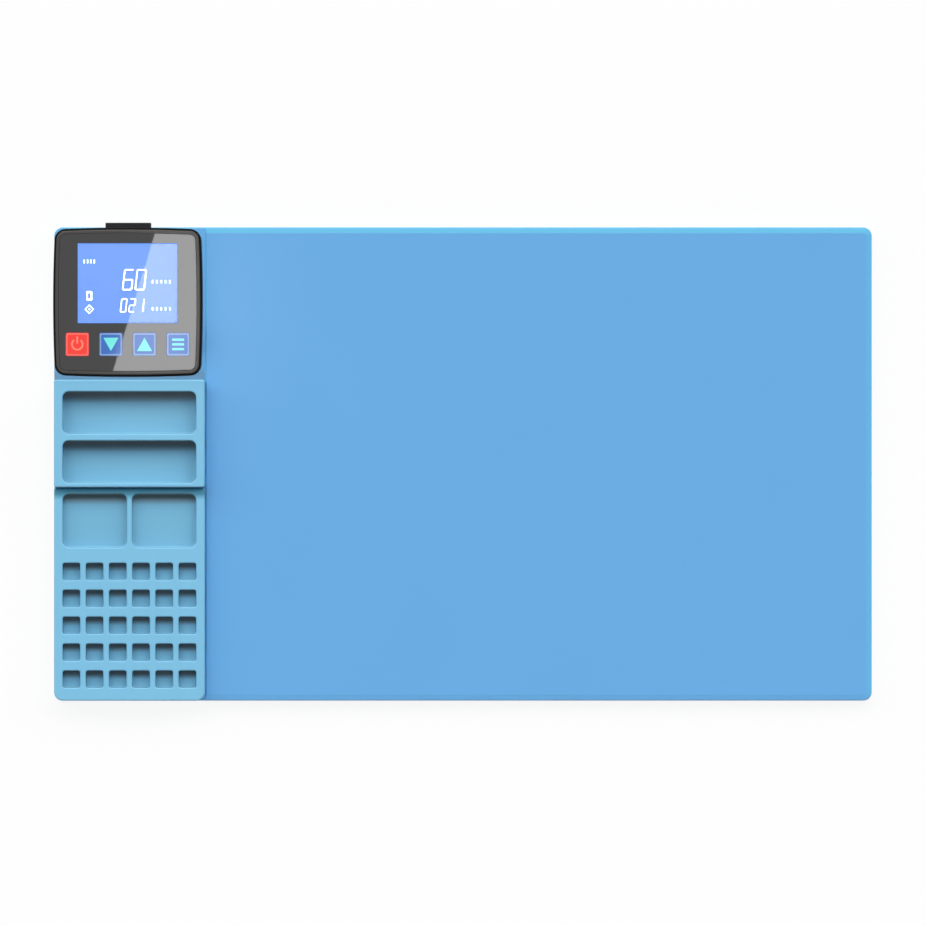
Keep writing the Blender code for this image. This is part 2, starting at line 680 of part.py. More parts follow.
def make_leads(front_tail, back_tail):
    """Two heater leads, one with the cutout in it, and two sensor leads, to the terminal block."""
    bay_x = pocket_left + SEAT_GAP + CUTOUT_WIDTH / 2
    rise_x = box_middle.x + lead_x
    entry_x = box_middle.x + terminal_right - LEAD_ENTRY
    entry_z = box_middle.z + parts_bottom + TERMINAL_HOLE_HEIGHT
    rows = [box_middle.y + row for row in lead_rows]
    crimp_x = stack_left - SEAT_GAP

    def to_terminal(x, row):
        return [(x, row, lead_height), (rise_x, row, lead_height), (rise_x, row, entry_z),
                (entry_x, row, entry_z)]

    cutout_y = -CUTOUT_OFFSET
    before = cutout_y - CUTOUT_LENGTH / 2 - SEAT_GAP
    after = cutout_y + CUTOUT_LENGTH / 2 + SEAT_GAP
    first = [(crimp_x, front_tail.y, lead_height), (bay_x, front_tail.y, lead_height)]
    first += [(bay_x, before, lead_height)]
    second = [(bay_x, after, lead_height)] + to_terminal(bay_x, rows[0])
    last = [(crimp_x, back_tail.y, lead_height), (bay_x, back_tail.y, lead_height)]
    last += to_terminal(bay_x, rows[-1])
    routes = [rounded_route(points, LEAD_BEND) for points in (first, second, last)]
    wires("heater_lead", routes, LEAD_DIAMETER, lead_red)
    body = rounded_rectangle(CUTOUT_WIDTH, CUTOUT_LENGTH, CUTOUT_CORNER)
    cutout = prism(body, felt_bottom, felt_bottom + CUTOUT_THICKNESS)
    solid("thermal_cutout", [cutout], black_plastic, location=(bay_x, cutout_y, 0))
    sensor_routes = []
    for index in range(1, LEADS - 1):
        y = (index - (LEADS - 1) / 2) * SENSOR_LEAD_SPACING
        x = bay_x + CUTOUT_WIDTH / 2 + LEAD_DIAMETER + index * SENSOR_LEAD_SPACING
        start = [(crimp_x, y, lead_height), (x, y, lead_height)]
        sensor_routes.append(rounded_route(start + to_terminal(x, rows[index]), LEAD_DIAMETER))
    wires("sensor_lead", sensor_routes, LEAD_DIAMETER, lead_white)


# The moulded trays that stand on the mat
def tray_outline(back, length, front_corner):
    def outline(inset):
        front = front_corner - inset
        rear = TRAY_CORNER - inset
        width = TRAY_WIDTH - 2 * inset
        centre = (tray_middle, back - length / 2)
        return rounded_rectangle(width, length - 2 * inset, (front, rear, rear, front), centre)
    return outline


def make_tool_tray():
    """The upper tray, with long pockets for hand tools."""
    floor = tray_bottom + TRAY_FLOOR
    top = floor + TOOL_POCKET_DEPTH
    outline = tray_outline(tool_tray_back, tool_tray_length, TRAY_CORNER)
    tray = solid("tool_tray", [rounded_block(outline, tray_bottom, top, TRAY_EDGE_ROUND)], tray_silicone)
    pockets = []
    for index in range(TOOL_POCKETS):
        back = tool_tray_back - TOOL_BACK_WALL - index * (TOOL_POCKET_LENGTH + TOOL_RIB)
        middle = (tray_middle, back - TOOL_POCKET_LENGTH / 2)
        pockets.append(
            pocket(pocket_span, TOOL_POCKET_LENGTH, TOOL_POCKET_CORNER, middle, floor, top, ARC_STEPS)
        )
    cut(tray, pockets)


def make_screw_tray():
    """The lower tray, with square pockets and rows of small cells for screws."""
    floor = tray_bottom + TRAY_FLOOR
    top = floor + SCREW_POCKET_DEPTH
    length = screw_tray_back - mat_front
    outline = tray_outline(screw_tray_back, length, TRAY_FRONT_CORNER)
    tray = solid("screw_tray", [rounded_block(outline, tray_bottom, top, TRAY_EDGE_ROUND)], tray_silicone)
    square_width = (pocket_span - (SQUARE_POCKETS - 1) * SQUARE_RIB) / SQUARE_POCKETS
    square_y = screw_tray_back - SQUARE_BACK_WALL - SQUARE_LENGTH / 2
    squares = []
    for index in range(SQUARE_POCKETS):
        x = tray_middle + (index - (SQUARE_POCKETS - 1) / 2) * (square_width + SQUARE_RIB)
        squares.append(
            pocket(square_width, SQUARE_LENGTH, SQUARE_CORNER, (x, square_y), floor, top, ARC_STEPS)
        )
    cut(tray, squares)
    cells_back = square_y - SQUARE_LENGTH / 2 - CELL_BACK_WALL
    cell_width = (pocket_span - (CELL_COLUMNS - 1) * CELL_COLUMN_RIB) / CELL_COLUMNS
    room = cells_back - mat_front - CELL_FRONT_WALL
    cell_rows = int((room + CELL_ROW_RIB) / (CELL_LENGTH + CELL_ROW_RIB))
    cells = []
    for row in range(cell_rows):
        y = cells_back - CELL_LENGTH / 2 - row * (CELL_LENGTH + CELL_ROW_RIB)
        for column in range(CELL_COLUMNS):
            x = tray_middle + (column - (CELL_COLUMNS - 1) / 2) * (cell_width + CELL_COLUMN_RIB)
            cells.append(
                pocket(cell_width, CELL_LENGTH, CELL_CORNER, (x, y), floor, top, SMALL_ARC_STEPS)
            )
    cut(tray, cells)


# The controller's two shells, and what clamps them to the mat
def make_base():
    wall_top = parting + LIP_HEIGHT
    lip = BOX_WALL - LIP_THICKNESS
    rings = [
        at(box_outline(BOX_WALL), BOX_FLOOR),
        at(box_outline(BOX_WALL), wall_top),
        at(box_outline(lip), wall_top),
        at(box_outline(lip), parting),
        at(box_outline(), parting),
        at(box_outline(), FOOT_CHAMFER),
        at(box_outline(FOOT_CHAMFER), 0),
    ]
    base = solid("housing_base", [rings], black_plastic, controller)
    into_floor = BOX_FLOOR / 2
    posts = [prism(circle(boss_radius, centre), into_floor, base_boss_top) for centre in boss_places]
    posts += [
        prism(circle(STANDOFF_RADIUS, centre), into_floor, BOX_FLOOR + STANDOFF_HEIGHT)
        for centre in standoff_places
    ]
    for side in (-1, 1):
        centre = (side * (INLET_WIDTH - STOP_WIDTH) / 2, inlet_rear - SEAT_GAP - STOP_THICKNESS / 2)
        posts.append(prism(rectangle(STOP_WIDTH, STOP_THICKNESS, centre), into_floor, inlet_middle))
    join(base, posts, controller)
    cut(base, screw_holes(boss_places, CLAMP_SHANK_RADIUS + SEAT_GAP, -BOX_FLOOR, parting), controller)
    bite = BOX_FLOOR + STANDOFF_HEIGHT - SMALL_SCREW_BITE - SEAT_GAP
    cut(base, screw_holes(board_screw_places, SMALL_SHANK_RADIUS + SEAT_GAP, bite, parting), controller)
    slot = rounded_rectangle(
        slot_width, slot_length, SLOT_END_ROUNDING * slot_width, (lead_x, -LEAD_ROW_OFFSET)
    )
    cut(base, [prism(slot, -BOX_FLOOR, 2 * BOX_FLOOR)], controller)
    mouth = rounded_rectangle(
        INLET_WIDTH + 2 * SEAT_GAP, INLET_HEIGHT + 2 * SEAT_GAP, INLET_CORNER + SEAT_GAP
    )
    through = [prism(mouth, -inlet_front, -(inner_half - BOX_WALL))]
    cut(base, through, controller, (0, 0, inlet_middle), ACROSS_BACK)


def make_cover():
    groove = BOX_WALL - LIP_THICKNESS - SEAT_GAP
    bottom = parting + SEAT_GAP
    recess = PANEL_INSET - SEAT_GAP
    rings = [
        at(box_outline(BOX_WALL), face_bottom),
        at(box_outline(BOX_WALL), groove_top),
        at(box_outline(groove), groove_top),
        at(box_outline(groove), bottom),
        at(box_outline(), bottom),
    ]
    for step in range(ARC_STEPS):
        angle = math.radians(90) * step / (ARC_STEPS - 1)
        inset = RIM_BEVEL_WIDTH * (1 - math.cos(angle))
        rings.append(at(box_outline(inset), panel_top - RIM_BEVEL_DROP * (1 - math.sin(angle))))
    rings += [at(box_outline(recess), panel_top), at(box_outline(recess), face_top)]
    cover = solid("housing_cover", [rings], black_plastic, controller)
    into_face = face_bottom + FACE_THICKNESS / 2
    posts = [
        prism(circle(boss_radius, centre), cover_boss_bottom, into_face) for centre in boss_places
    ]
    posts += [
        prism(circle(POST_RADIUS, centre), display_board_top + SEAT_GAP, into_face)
        for centre in post_places
    ]
    join(cover, posts, controller)
    bite_top = cover_boss_bottom + CLAMP_SCREW_BITE + SEAT_GAP
    cut(cover, screw_holes(boss_places, CLAMP_SHANK_RADIUS + SEAT_GAP, 0, bite_top), controller)
    bite_top = display_board_top + SMALL_SCREW_BITE + SEAT_GAP
    cut(cover, screw_holes(display_screw_places, SMALL_SHANK_RADIUS + SEAT_GAP, 0, bite_top), controller)
    openings = [rectangle(holder_width + 2 * SEAT_GAP, holder_length + 2 * SEAT_GAP, (0, window_y))]
    openings += [rectangle(key_opening, key_opening, centre) for centre in key_places]
    through = [prism(outline, face_bottom - FACE_THICKNESS, panel_top) for outline in openings]
    cut(cover, through, controller)


def make_clamp():
    under_box = (box_middle.x, box_middle.y, 0)
    plate = solid("clamp_plate", [prism(clamp_outline(0), 0, CLAMP_PLATE)], black_plastic,
                  location=under_box)
    head_bottom = CLAMP_PLATE - CLAMP_HEAD_HEIGHT - SEAT_GAP
    shank = CLAMP_SHANK_RADIUS
    seats = []
    screws = []
    for centre in boss_places:
        seats.append(turned([(CLAMP_HEAD_RADIUS + SEAT_GAP, -CLAMP_PLATE),
                             (CLAMP_HEAD_RADIUS + SEAT_GAP, head_bottom + SEAT_GAP),
                             (shank + SEAT_GAP, head_bottom + CLAMP_HEAD_HEIGHT + SEAT_GAP),
                             (shank + SEAT_GAP, 2 * CLAMP_PLATE)], centre))
        screws.append(turned([(CLAMP_HEAD_RADIUS, head_bottom),
                              (shank, head_bottom + CLAMP_HEAD_HEIGHT),
                              (shank, box_middle.z + cover_boss_bottom + CLAMP_SCREW_BITE)], centre))
    cut(plate, seats, location=under_box)
    copies("clamp_screw", screws, steel, location=under_box)
    place_on_floor = (lead_x, -LEAD_ROW_OFFSET)
    hole = rounded_rectangle(
        passage_width, passage_length, SLOT_END_ROUNDING * passage_width, place_on_floor
    )
    inner_width = slot_width - 2 * SEAT_GAP
    inner_length = slot_length - 2 * SEAT_GAP
    neck = rounded_rectangle(inner_width, inner_length, SLOT_END_ROUNDING * inner_width, place_on_floor)
    flange = rounded_rectangle(slot_width + 2 * GROMMET_FLANGE - SEAT_GAP,
                               slot_length + 2 * GROMMET_FLANGE - SEAT_GAP,
                               SLOT_END_ROUNDING * inner_width, place_on_floor)
    seat = BOX_FLOOR + SEAT_GAP
    grommet = solid(
        "lead_grommet",
        [[at(neck, 0), at(neck, seat), at(flange, seat), at(flange, seat + GROMMET_RISE)]],
        black_rubber, controller,
    )
    cut(grommet, [prism(hole, -BOX_FLOOR, seat + 2 * GROMMET_RISE)], controller)


# The front panel, display and keys
def make_front():
    panel = solid("front_panel", [prism(box_outline(PANEL_INSET), panel_bottom, panel_top)],
                  panel_gloss, controller)
    window_size = (window_width, window_length, WINDOW_CORNER, (0, window_y))
    openings = [rounded_rectangle(*window_size, SMALL_ARC_STEPS)]
    openings += [rectangle(key_opening, key_opening, centre) for centre in key_places]
    cut(panel, [prism(outline, face_top, panel_top + PANEL_THICKNESS) for outline in openings],
        controller)
    lens = rectangle(window_width - 2 * SEAT_GAP, window_length - 2 * SEAT_GAP, (0, window_y))
    solid("display_window", [prism(lens, panel_bottom, panel_top)], clear_lens, controller)
    glass_bottom = face_top - GLASS_THICKNESS
    glass = rectangle(glass_width, glass_length, (0, window_y))
    solid("lcd_glass", [prism(glass, glass_bottom, face_top)], display_blue, controller)
    solid("backlight", [prism(glass, module_bottom, glass_bottom - SEAT_GAP)], white_plastic, controller)
    frame = prism(rectangle(holder_width, holder_length, (0, window_y)), module_bottom, face_top)
    holder = solid("lcd_holder", [frame], black_plastic, controller)
    inner = rectangle(glass_width + 2 * SEAT_GAP, glass_length + 2 * SEAT_GAP, (0, window_y))
    cut(holder, [prism(inner, module_bottom - HOLDER_WALL, face_top + HOLDER_WALL)], controller)


def make_keys():
    """Four square keys. Each has a flange below the face and a plunger in its switch."""
    colours = (red_key, blue_key, blue_key, blue_key)
    for name, colour, (x, y) in zip(key_names, colours, key_places):
        top = panel_top + KEY_PROUD

        def cap(inset):
            side = key_size - 2 * inset
            return rounded_rectangle(side, side, KEY_CORNER - inset, steps=SMALL_ARC_STEPS)

        flange = rounded_rectangle(key_flange, key_flange, KEY_CORNER, steps=SMALL_ARC_STEPS)
        flange_top = flange_bottom + KEY_FLANGE_THICKNESS
        rings = [at(flange, flange_bottom), at(flange, flange_top)]
        rings += rounded_block(cap, flange_top, top, KEY_EDGE_ROUND)
        key = solid(name, [rings], colour, controller, (x, y, 0))
        plunger = circle(PLUNGER_RADIUS)
        bottom = switch_top - PLUNGER_ENGAGEMENT
        inside = flange_bottom + KEY_FLANGE_THICKNESS / 2
        join(key, [prism(plunger, bottom, inside)], controller, (x, y, 0))
        body = prism(rectangle(SWITCH_SIZE, SWITCH_SIZE), module_bottom, switch_top)
        switch = solid(name.replace("key", "switch"), [body], black_plastic, controller, (x, y, 0))
        depth = bottom - KEY_TRAVEL - SEAT_GAP
        well = prism(circle(PLUNGER_RADIUS + KEY_CLEARANCE), depth, flange_bottom)
        cut(switch, [well], controller, (x, y, 0))


def make_display_board():
    outline = cross_outline(board_reach, between_bosses)
    board = solid("display_board", [prism(outline, display_board_bottom, display_board_top)],
                  circuit_board, controller)
    hole = SMALL_SHANK_RADIUS + SEAT_GAP
    through = screw_holes(display_screw_places, hole, parts_bottom, face_bottom)
    cut(board, through, controller)
    head_top = display_board_bottom - SEAT_GAP
    screws = [
        turned([(SMALL_HEAD_RADIUS, head_top - SMALL_HEAD_HEIGHT), (SMALL_HEAD_RADIUS, head_top),
                (SMALL_SHANK_RADIUS, head_top),
                (SMALL_SHANK_RADIUS, display_board_top + SMALL_SCREW_BITE)], centre, SMALL_ROUND_STEPS)
        for centre in display_screw_places
    ]
    copies("display_screw", screws, steel, controller)
    chip = prism(rectangle(CHIP_LENGTH, CHIP_WIDTH), head_top - CHIP_HEIGHT, head_top)
    solid("controller_chip", [chip], black_plastic, controller)


# The power board and its parts, laid out in rows from the back left
def make_power_board():
    middle = ((power_left + power_right) / 2, (power_front + power_back) / 2)
    outline = rectangle(power_right - power_left, power_back - power_front, middle)
    board_top = board_bottom + BOARD_THICKNESS
    board = solid("power_board", [prism(outline, board_bottom, board_top)], circuit_board, controller)
    hole = SMALL_SHANK_RADIUS + SEAT_GAP
    through = screw_holes(board_screw_places, hole, BOX_FLOOR, 2 * parts_bottom)
    cut(board, through, controller)
    bite = BOX_FLOOR + STANDOFF_HEIGHT - SMALL_SCREW_BITE
    screws = [
        turned([(SMALL_SHANK_RADIUS, bite), (SMALL_SHANK_RADIUS, parts_bottom),
                (SMALL_HEAD_RADIUS, parts_bottom),
                (SMALL_HEAD_RADIUS, parts_bottom + SMALL_HEAD_HEIGHT)], centre, SMALL_ROUND_STEPS)
        for centre in board_screw_places
    ]
    copies("board_screw", screws, steel, controller)
    link_x = power_left + LINK_WIDTH / 2 + SEAT_GAP
    link_y = (post_front + post_back) / 2
    link = rectangle(LINK_WIDTH, LINK_LENGTH, (link_x, link_y))
    solid("board_link", [prism(link, parts_bottom, display_board_bottom - SEAT_GAP)],
          black_plastic, controller)


def make_relay(x, y):
    case = rounded_rectangle(RELAY_LENGTH, RELAY_WIDTH, RELAY_CORNER, (x, y), SMALL_ARC_STEPS)
    solid("relay", [prism(case, parts_bottom, parts_bottom + TALL_PART)], relay_blue, controller)


def make_filter(x, y):
    case = rounded_rectangle(FILTER_LENGTH, FILTER_WIDTH, FILTER_CORNER, (x, y), SMALL_ARC_STEPS)
    solid("filter_capacitor", [prism(case, parts_bottom, parts_bottom + TALL_PART)],
          capacitor_yellow, controller)


def make_smoothing(x, y):
    top = parts_bottom + TALL_PART
    end = SMOOTHING_RADIUS - SMOOTHING_EDGE
    can = turned([(end, parts_bottom), (SMOOTHING_RADIUS, parts_bottom + SMOOTHING_EDGE),
                  (SMOOTHING_RADIUS, top - SMOOTHING_EDGE), (end, top)], (x, y))
    solid("smoothing_capacitor", [can], black_plastic, controller)


def make_buzzer(x, y):
    top = parts_bottom + BUZZER_HEIGHT
    case = solid("buzzer", [prism(circle(BUZZER_RADIUS, (x, y)), parts_bottom, top)],
                 black_plastic, controller)
    cut(case, [prism(circle(BUZZER_HOLE, (x, y)), top - BUZZER_HEIGHT / 2, top + BUZZER_HEIGHT)],
        controller)


def make_transformer(x, y):
    """A ring of ferrite standing on the board, with the winding round its middle leg."""
    window = (TALL_PART - 2 * CORE_YOKE, (CORE_LENGTH - 3 * CORE_LEG) / 2)
    core = solid("transformer_core",
                 [prism(rectangle(CORE_LENGTH, CORE_WIDTH, (x, y)), parts_bottom, parts_bottom + TALL_PART)],
                 ferrite, controller)
    middle = parts_bottom + TALL_PART / 2
    holes = []
    for side in (-1, 1):
        centre = (x + side * (CORE_LEG + window[1]) / 2, y)
        holes.append(prism(rectangle(window[1], 2 * CORE_WIDTH, centre),
                           middle - window[0] / 2, middle + window[0] / 2))
    cut(core, holes, controller)
    outer = (CORE_LEG + 2 * (COIL_THICKNESS + SEAT_GAP), CORE_WIDTH + 2 * (COIL_THICKNESS + SEAT_GAP))
    height = window[0] / 2 - SEAT_GAP
    coil = solid("transformer_coil",
                 [prism(rounded_rectangle(*outer, COIL_THICKNESS / 2, (x, y)), middle - height,
                        middle + height)], winding_tape, controller)
    leg = rectangle(CORE_LEG + 2 * SEAT_GAP, CORE_WIDTH + 2 * SEAT_GAP, (x, y))
    cut(coil, [prism(leg, parts_bottom, parts_bottom + TALL_PART)], controller)


def make_fuse(x, y):
    """A glass fuse with metal ends, lying in two spring clips."""
    height = parts_bottom + CLIP_THICKNESS + SEAT_GAP + FUSE_RADIUS
    body = prism(circle(FUSE_RADIUS), -FUSE_LENGTH / 2, FUSE_LENGTH / 2)
    lengthwise = (0, math.radians(90), 0)
    solid("line_fuse", [body], fuse_glass, controller, (x, y, height), lengthwise)
    outer = FUSE_RADIUS + SEAT_GAP + CLIP_THICKNESS
    clips = []
    for side in (-1, 1):
        middle = x + side * (FUSE_LENGTH - FUSE_CAP_LENGTH) / 2
        clips.append(prism(rectangle(CLIP_WIDTH, 2 * outer, (middle, y)), parts_bottom,
                           height + FUSE_RADIUS / 2))
    channel = circle(FUSE_RADIUS + SEAT_GAP)
    length = FUSE_LENGTH / 2 + CLIP_WIDTH
    slit = rectangle(2 * length, FUSE_RADIUS, (x, y))
    for clip in copies("fuse_clip", clips, brass, controller):
        cut(clip, [prism(channel, -length, length)], controller, (x, y, height), lengthwise)
        cut(clip, [prism(slit, height, height + 2 * FUSE_RADIUS)], controller)


def make_terminal_block():
    x = terminal_right - TERMINAL_DEPTH / 2
    outline = rectangle(TERMINAL_DEPTH, terminal_length, (x, -LEAD_ROW_OFFSET))
    block = solid("terminal_block", [prism(outline, parts_bottom, parts_bottom + TERMINAL_HEIGHT)],
                  terminal_green, controller)
    hole = passage_width / 2
    height = parts_bottom + TERMINAL_HOLE_HEIGHT
    holes = [
        prism(rectangle(TERMINAL_DEPTH, 2 * hole, (terminal_right, row)), height - hole, height + hole)
        for row in lead_rows
    ]
    top = parts_bottom + TERMINAL_HEIGHT
    holes += [
        prism(circle(TERMINAL_SCREW_RADIUS, (x, row)), top - TERMINAL_SCREW_DEPTH,
              top + TERMINAL_SCREW_DEPTH)
        for row in lead_rows
    ]
    cut(block, holes, controller)


def spread(sizes, start, end):
    """The middles of things laid side by side between start and end, with equal gaps around them."""
    gap = (end - start - sum(sizes)) / (len(sizes) + 1)
    return [start + gap * (index + 1) + sum(sizes[:index]) + size / 2 for index, size in enumerate(sizes)]


def fill_power_board():
    coil_width = CORE_WIDTH + 2 * (COIL_THICKNESS + SEAT_GAP)
    clip_depth = 2 * (FUSE_RADIUS + CLIP_THICKNESS + SEAT_GAP)
    rows = (
        ((make_transformer, CORE_LENGTH, coil_width), (make_buzzer, 2 * BUZZER_RADIUS, 2 * BUZZER_RADIUS)),
        ((make_fuse, FUSE_LENGTH, clip_depth), (make_smoothing, 2 * SMOOTHING_RADIUS, 2 * SMOOTHING_RADIUS)),
        ((make_relay, RELAY_LENGTH, RELAY_WIDTH), (make_filter, FILTER_LENGTH, FILTER_WIDTH)),
    )
    depths = [max(depth for _, _, depth in row) for row in rows]
    row_places = spread(depths, power_front, power_back - INLET_WIRE_LAP)
    left = power_left + SEAT_GAP + LINK_WIDTH
    right = terminal_right - TERMINAL_DEPTH
    for row, y in zip(rows, row_places):
        for (make, _, _), x in zip(row, spread([length for _, length, _ in row], left, right)):
            make(x, y)


# The mains inlet, held in the back wall of the base shell
def make_inlet():
    half_flange = INLET_WIDTH / 2 + INLET_FLANGE
    flange_front = inner_half + bow_at(half_flange) - SEAT_GAP
    flange_back = flange_front - INLET_FLANGE_THICKNESS
    body = rounded_rectangle(INLET_WIDTH, INLET_HEIGHT, INLET_CORNER)
    nose = rounded_rectangle(INLET_WIDTH - 2 * SEAT_GAP, INLET_HEIGHT - 2 * SEAT_GAP, INLET_CORNER)
    flange = rounded_rectangle(2 * half_flange, INLET_HEIGHT + INLET_LIFT, INLET_CORNER)
    rings = [
        at(nose, -inlet_front),
        at(body, SEAT_GAP - inlet_front),
        at(body, -flange_front),
        at(flange, -flange_front),
        at(flange, -flange_back),
        at(body, -flange_back),
        at(body, -inlet_rear),
    ]
    middle = (0, 0, inlet_middle)
    inlet = solid("mains_inlet", [rings], black_plastic, controller, middle, ACROSS_BACK)
    mouth = figure_eight(LOBE_RADIUS, PIN_SPACING, LOBE_WAIST)
    socket = prism(mouth, -inlet_front - INLET_PROUD, SOCKET_DEPTH - inlet_front)
    cut(inlet, [socket], controller, middle, ACROSS_BACK)
    pin_places = [(side * PIN_SPACING / 2, 0) for side in (-1, 1)]
    holes = screw_holes(pin_places, PIN_RADIUS + SEAT_GAP, -inlet_front, PIN_TAIL - inlet_rear)
    cut(inlet, holes, controller, middle, ACROSS_BACK)
    tip_y = PIN_SET_BACK - inlet_front
    pins = [
        turned([(PIN_RADIUS - PIN_TIP, tip_y), (PIN_RADIUS, tip_y + PIN_TIP), (PIN_RADIUS, -pin_end)],
               centre)
        for centre in pin_places
    ]
    copies("inlet_pin", pins, steel, controller, middle, ACROSS_BACK)
    low = parts_bottom + INLET_WIRE / 2
    start = pin_end - SEAT_GAP
    lap = power_back - INLET_WIRE_LAP
    straight = INLET_WIRE / 2
    routes = [
        rounded_route([(x, start, inlet_middle), (x, start - straight, inlet_middle),
                       (x, lap + straight, low), (x, lap, low)], INLET_WIRE)
        for x, _ in pin_places
    ]
    wires("inlet_wire", routes, INLET_WIRE, lead_white, controller)


make_mat()
make_heater()
make_tool_tray()
make_screw_tray()
make_base()
make_cover()
make_clamp()
make_front()
make_keys()
make_display_board()
make_power_board()
fill_power_board()
make_terminal_block()
make_inlet()
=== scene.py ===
# %% [markdown]
# # A heated work pad, seen from above
# The pad is a blue silicone mat with a heater inside. Two moulded trays lie down its left side and
# a black controller box stands on its back left corner. The solids and the joints come from the CAD
# frame, and this lesson dresses them. Each piece reads its place from the frame, so it sits where
# its solid sits.

# %% Load the frame
import math

import bmesh
import bpy
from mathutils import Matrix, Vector
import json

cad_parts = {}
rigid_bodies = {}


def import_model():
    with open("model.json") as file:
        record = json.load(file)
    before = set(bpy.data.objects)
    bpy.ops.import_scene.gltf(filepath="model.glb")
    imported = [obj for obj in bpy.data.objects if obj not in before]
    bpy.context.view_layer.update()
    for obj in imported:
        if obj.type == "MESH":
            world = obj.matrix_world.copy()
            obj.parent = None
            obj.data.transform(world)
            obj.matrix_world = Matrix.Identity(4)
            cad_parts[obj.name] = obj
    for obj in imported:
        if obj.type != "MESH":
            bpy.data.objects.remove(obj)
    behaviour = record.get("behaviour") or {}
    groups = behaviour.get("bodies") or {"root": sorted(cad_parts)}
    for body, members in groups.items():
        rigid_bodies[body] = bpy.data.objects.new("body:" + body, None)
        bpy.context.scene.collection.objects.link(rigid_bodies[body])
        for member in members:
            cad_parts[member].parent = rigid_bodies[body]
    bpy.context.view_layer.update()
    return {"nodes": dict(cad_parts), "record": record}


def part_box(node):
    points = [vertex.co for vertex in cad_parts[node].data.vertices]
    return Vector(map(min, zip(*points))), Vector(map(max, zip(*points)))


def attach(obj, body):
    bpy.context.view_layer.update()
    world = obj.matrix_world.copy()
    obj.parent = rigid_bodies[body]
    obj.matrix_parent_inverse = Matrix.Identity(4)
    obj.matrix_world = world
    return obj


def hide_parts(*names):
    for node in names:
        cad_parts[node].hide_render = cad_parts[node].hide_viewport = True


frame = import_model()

scene = bpy.context.scene


def placed(name, data):
    """A new object in the scene, with the data given."""
    thing = bpy.data.objects.new(name, data)
    scene.collection.objects.link(thing)
    return thing


# %% [markdown]
# ## Camera
# The photograph looks straight down and shows almost no upright wall, so it was taken from far
# away. A long lens high above the mat does the same, and a wide lens close by would show the
# controller's sides.

# %% Set the camera
PICTURE_WIDTH = 0.43043
PICTURE_MIDDLE_Y = 0.0007
CAMERA_HEIGHT = 10.0
SENSOR_MM = 36

mat_low, mat_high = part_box("work_mat")
lens_data = bpy.data.cameras.new("camera")
lens_data.sensor_width = SENSOR_MM
lens_data.lens = SENSOR_MM * CAMERA_HEIGHT / PICTURE_WIDTH
lens_data.clip_end = 2 * CAMERA_HEIGHT
camera = placed("camera", lens_data)
camera.location = (0, PICTURE_MIDDLE_Y, mat_high.z + CAMERA_HEIGHT)
scene.camera = camera
scene.view_settings.view_transform = "Standard"
print("lens", round(lens_data.lens), "mm")

# %% [markdown]
# ## Floor and light
# The pockets are dark at their back walls and grow lighter over more than their own depth, so the
# main light is a broad one behind the pad, about halfway up. Two wings beside it soften the shadows
# to the left and right, and low lamps reach the upright walls but not the pocket floors. Suns with
# wide discs do this evenly over the whole pad. The rays of the camera, of mirrors and of glass find
# a white studio, and all other rays a dim one, which keeps colours at the level they are written.

# %% Lay the floor and hang the light
AMBIENT = 0.06
FLOOR_WHITE = 0.90
FLOOR_GLOW = 0.90
FLOOR_SIZE = 60.0
FLOOR_DROP = 0.0003
# Each lamp has a strength, how far it stands to the right and to the back, and its disc, in degrees.
LIGHTS = {
    "key": (1.55, (0, 47), 50),
    "left_wing": (1.25, (-44, 46), 40),
    "right_wing": (1.25, (44, 46), 40),
    "front_low": (0.75, (0, -75), 20),
    "left_low": (0.50, (-71, 52), 20),
    "right_low": (0.50, (71, 52), 20),
}


def join_up(tree, *pairs):
    """Links pairs of sockets, from and to."""
    for source, target in pairs:
        tree.links.new(source, target)


def white_studio_mask(tree):
    """1 for the rays of the camera, of mirrors and of glass, and 0 for the rest."""
    path = tree.nodes.new("ShaderNodeLightPath")
    mask = path.outputs["Is Camera Ray"]
    for name in ("Is Glossy Ray", "Is Transmission Ray"):
        either = tree.nodes.new("ShaderNodeMath")
        either.operation = "MAXIMUM"
        join_up(tree, (mask, either.inputs[0]), (path.outputs[name], either.inputs[1]))
        mask = either.outputs[0]
    return mask


world = bpy.data.worlds.new("studio")
world.use_nodes = True
world.node_tree.nodes.clear()
dim = world.node_tree.nodes.new("ShaderNodeBackground")
dim.inputs["Strength"].default_value = AMBIENT
white = world.node_tree.nodes.new("ShaderNodeBackground")
for background in (dim, white):
    background.inputs["Color"].default_value = (1, 1, 1, 1)
blend = world.node_tree.nodes.new("ShaderNodeMixShader")
sky = world.node_tree.nodes.new("ShaderNodeOutputWorld")
join_up(
    world.node_tree,
    (white_studio_mask(world.node_tree), blend.inputs[0]),
    (dim.outputs[0], blend.inputs[1]),
    (white.outputs[0], blend.inputs[2]),
    (blend.outputs[0], sky.inputs["Surface"]),
)
scene.world = world

paper = bpy.data.materials.new("floor_paper")
paper.use_nodes = True
paper.node_tree.nodes.clear()
matt = paper.node_tree.nodes.new("ShaderNodeBsdfDiffuse")
matt.inputs["Color"].default_value = (FLOOR_WHITE, FLOOR_WHITE, FLOOR_WHITE, 1)
glow = paper.node_tree.nodes.new("ShaderNodeEmission")
share = paper.node_tree.nodes.new("ShaderNodeMath")
share.operation = "MULTIPLY"
share.inputs[1].default_value = FLOOR_GLOW
blend = paper.node_tree.nodes.new("ShaderNodeMixShader")
top = paper.node_tree.nodes.new("ShaderNodeOutputMaterial")
join_up(
    paper.node_tree,
    (white_studio_mask(paper.node_tree), share.inputs[0]),
    (share.outputs[0], blend.inputs[0]),
    (matt.outputs[0], blend.inputs[1]),
    (glow.outputs[0], blend.inputs[2]),
    (blend.outputs[0], top.inputs["Surface"]),
)
sheet = bpy.data.meshes.new("floor")
half = FLOOR_SIZE / 2
corners = [(-half, -half), (half, -half), (half, half), (-half, half)]
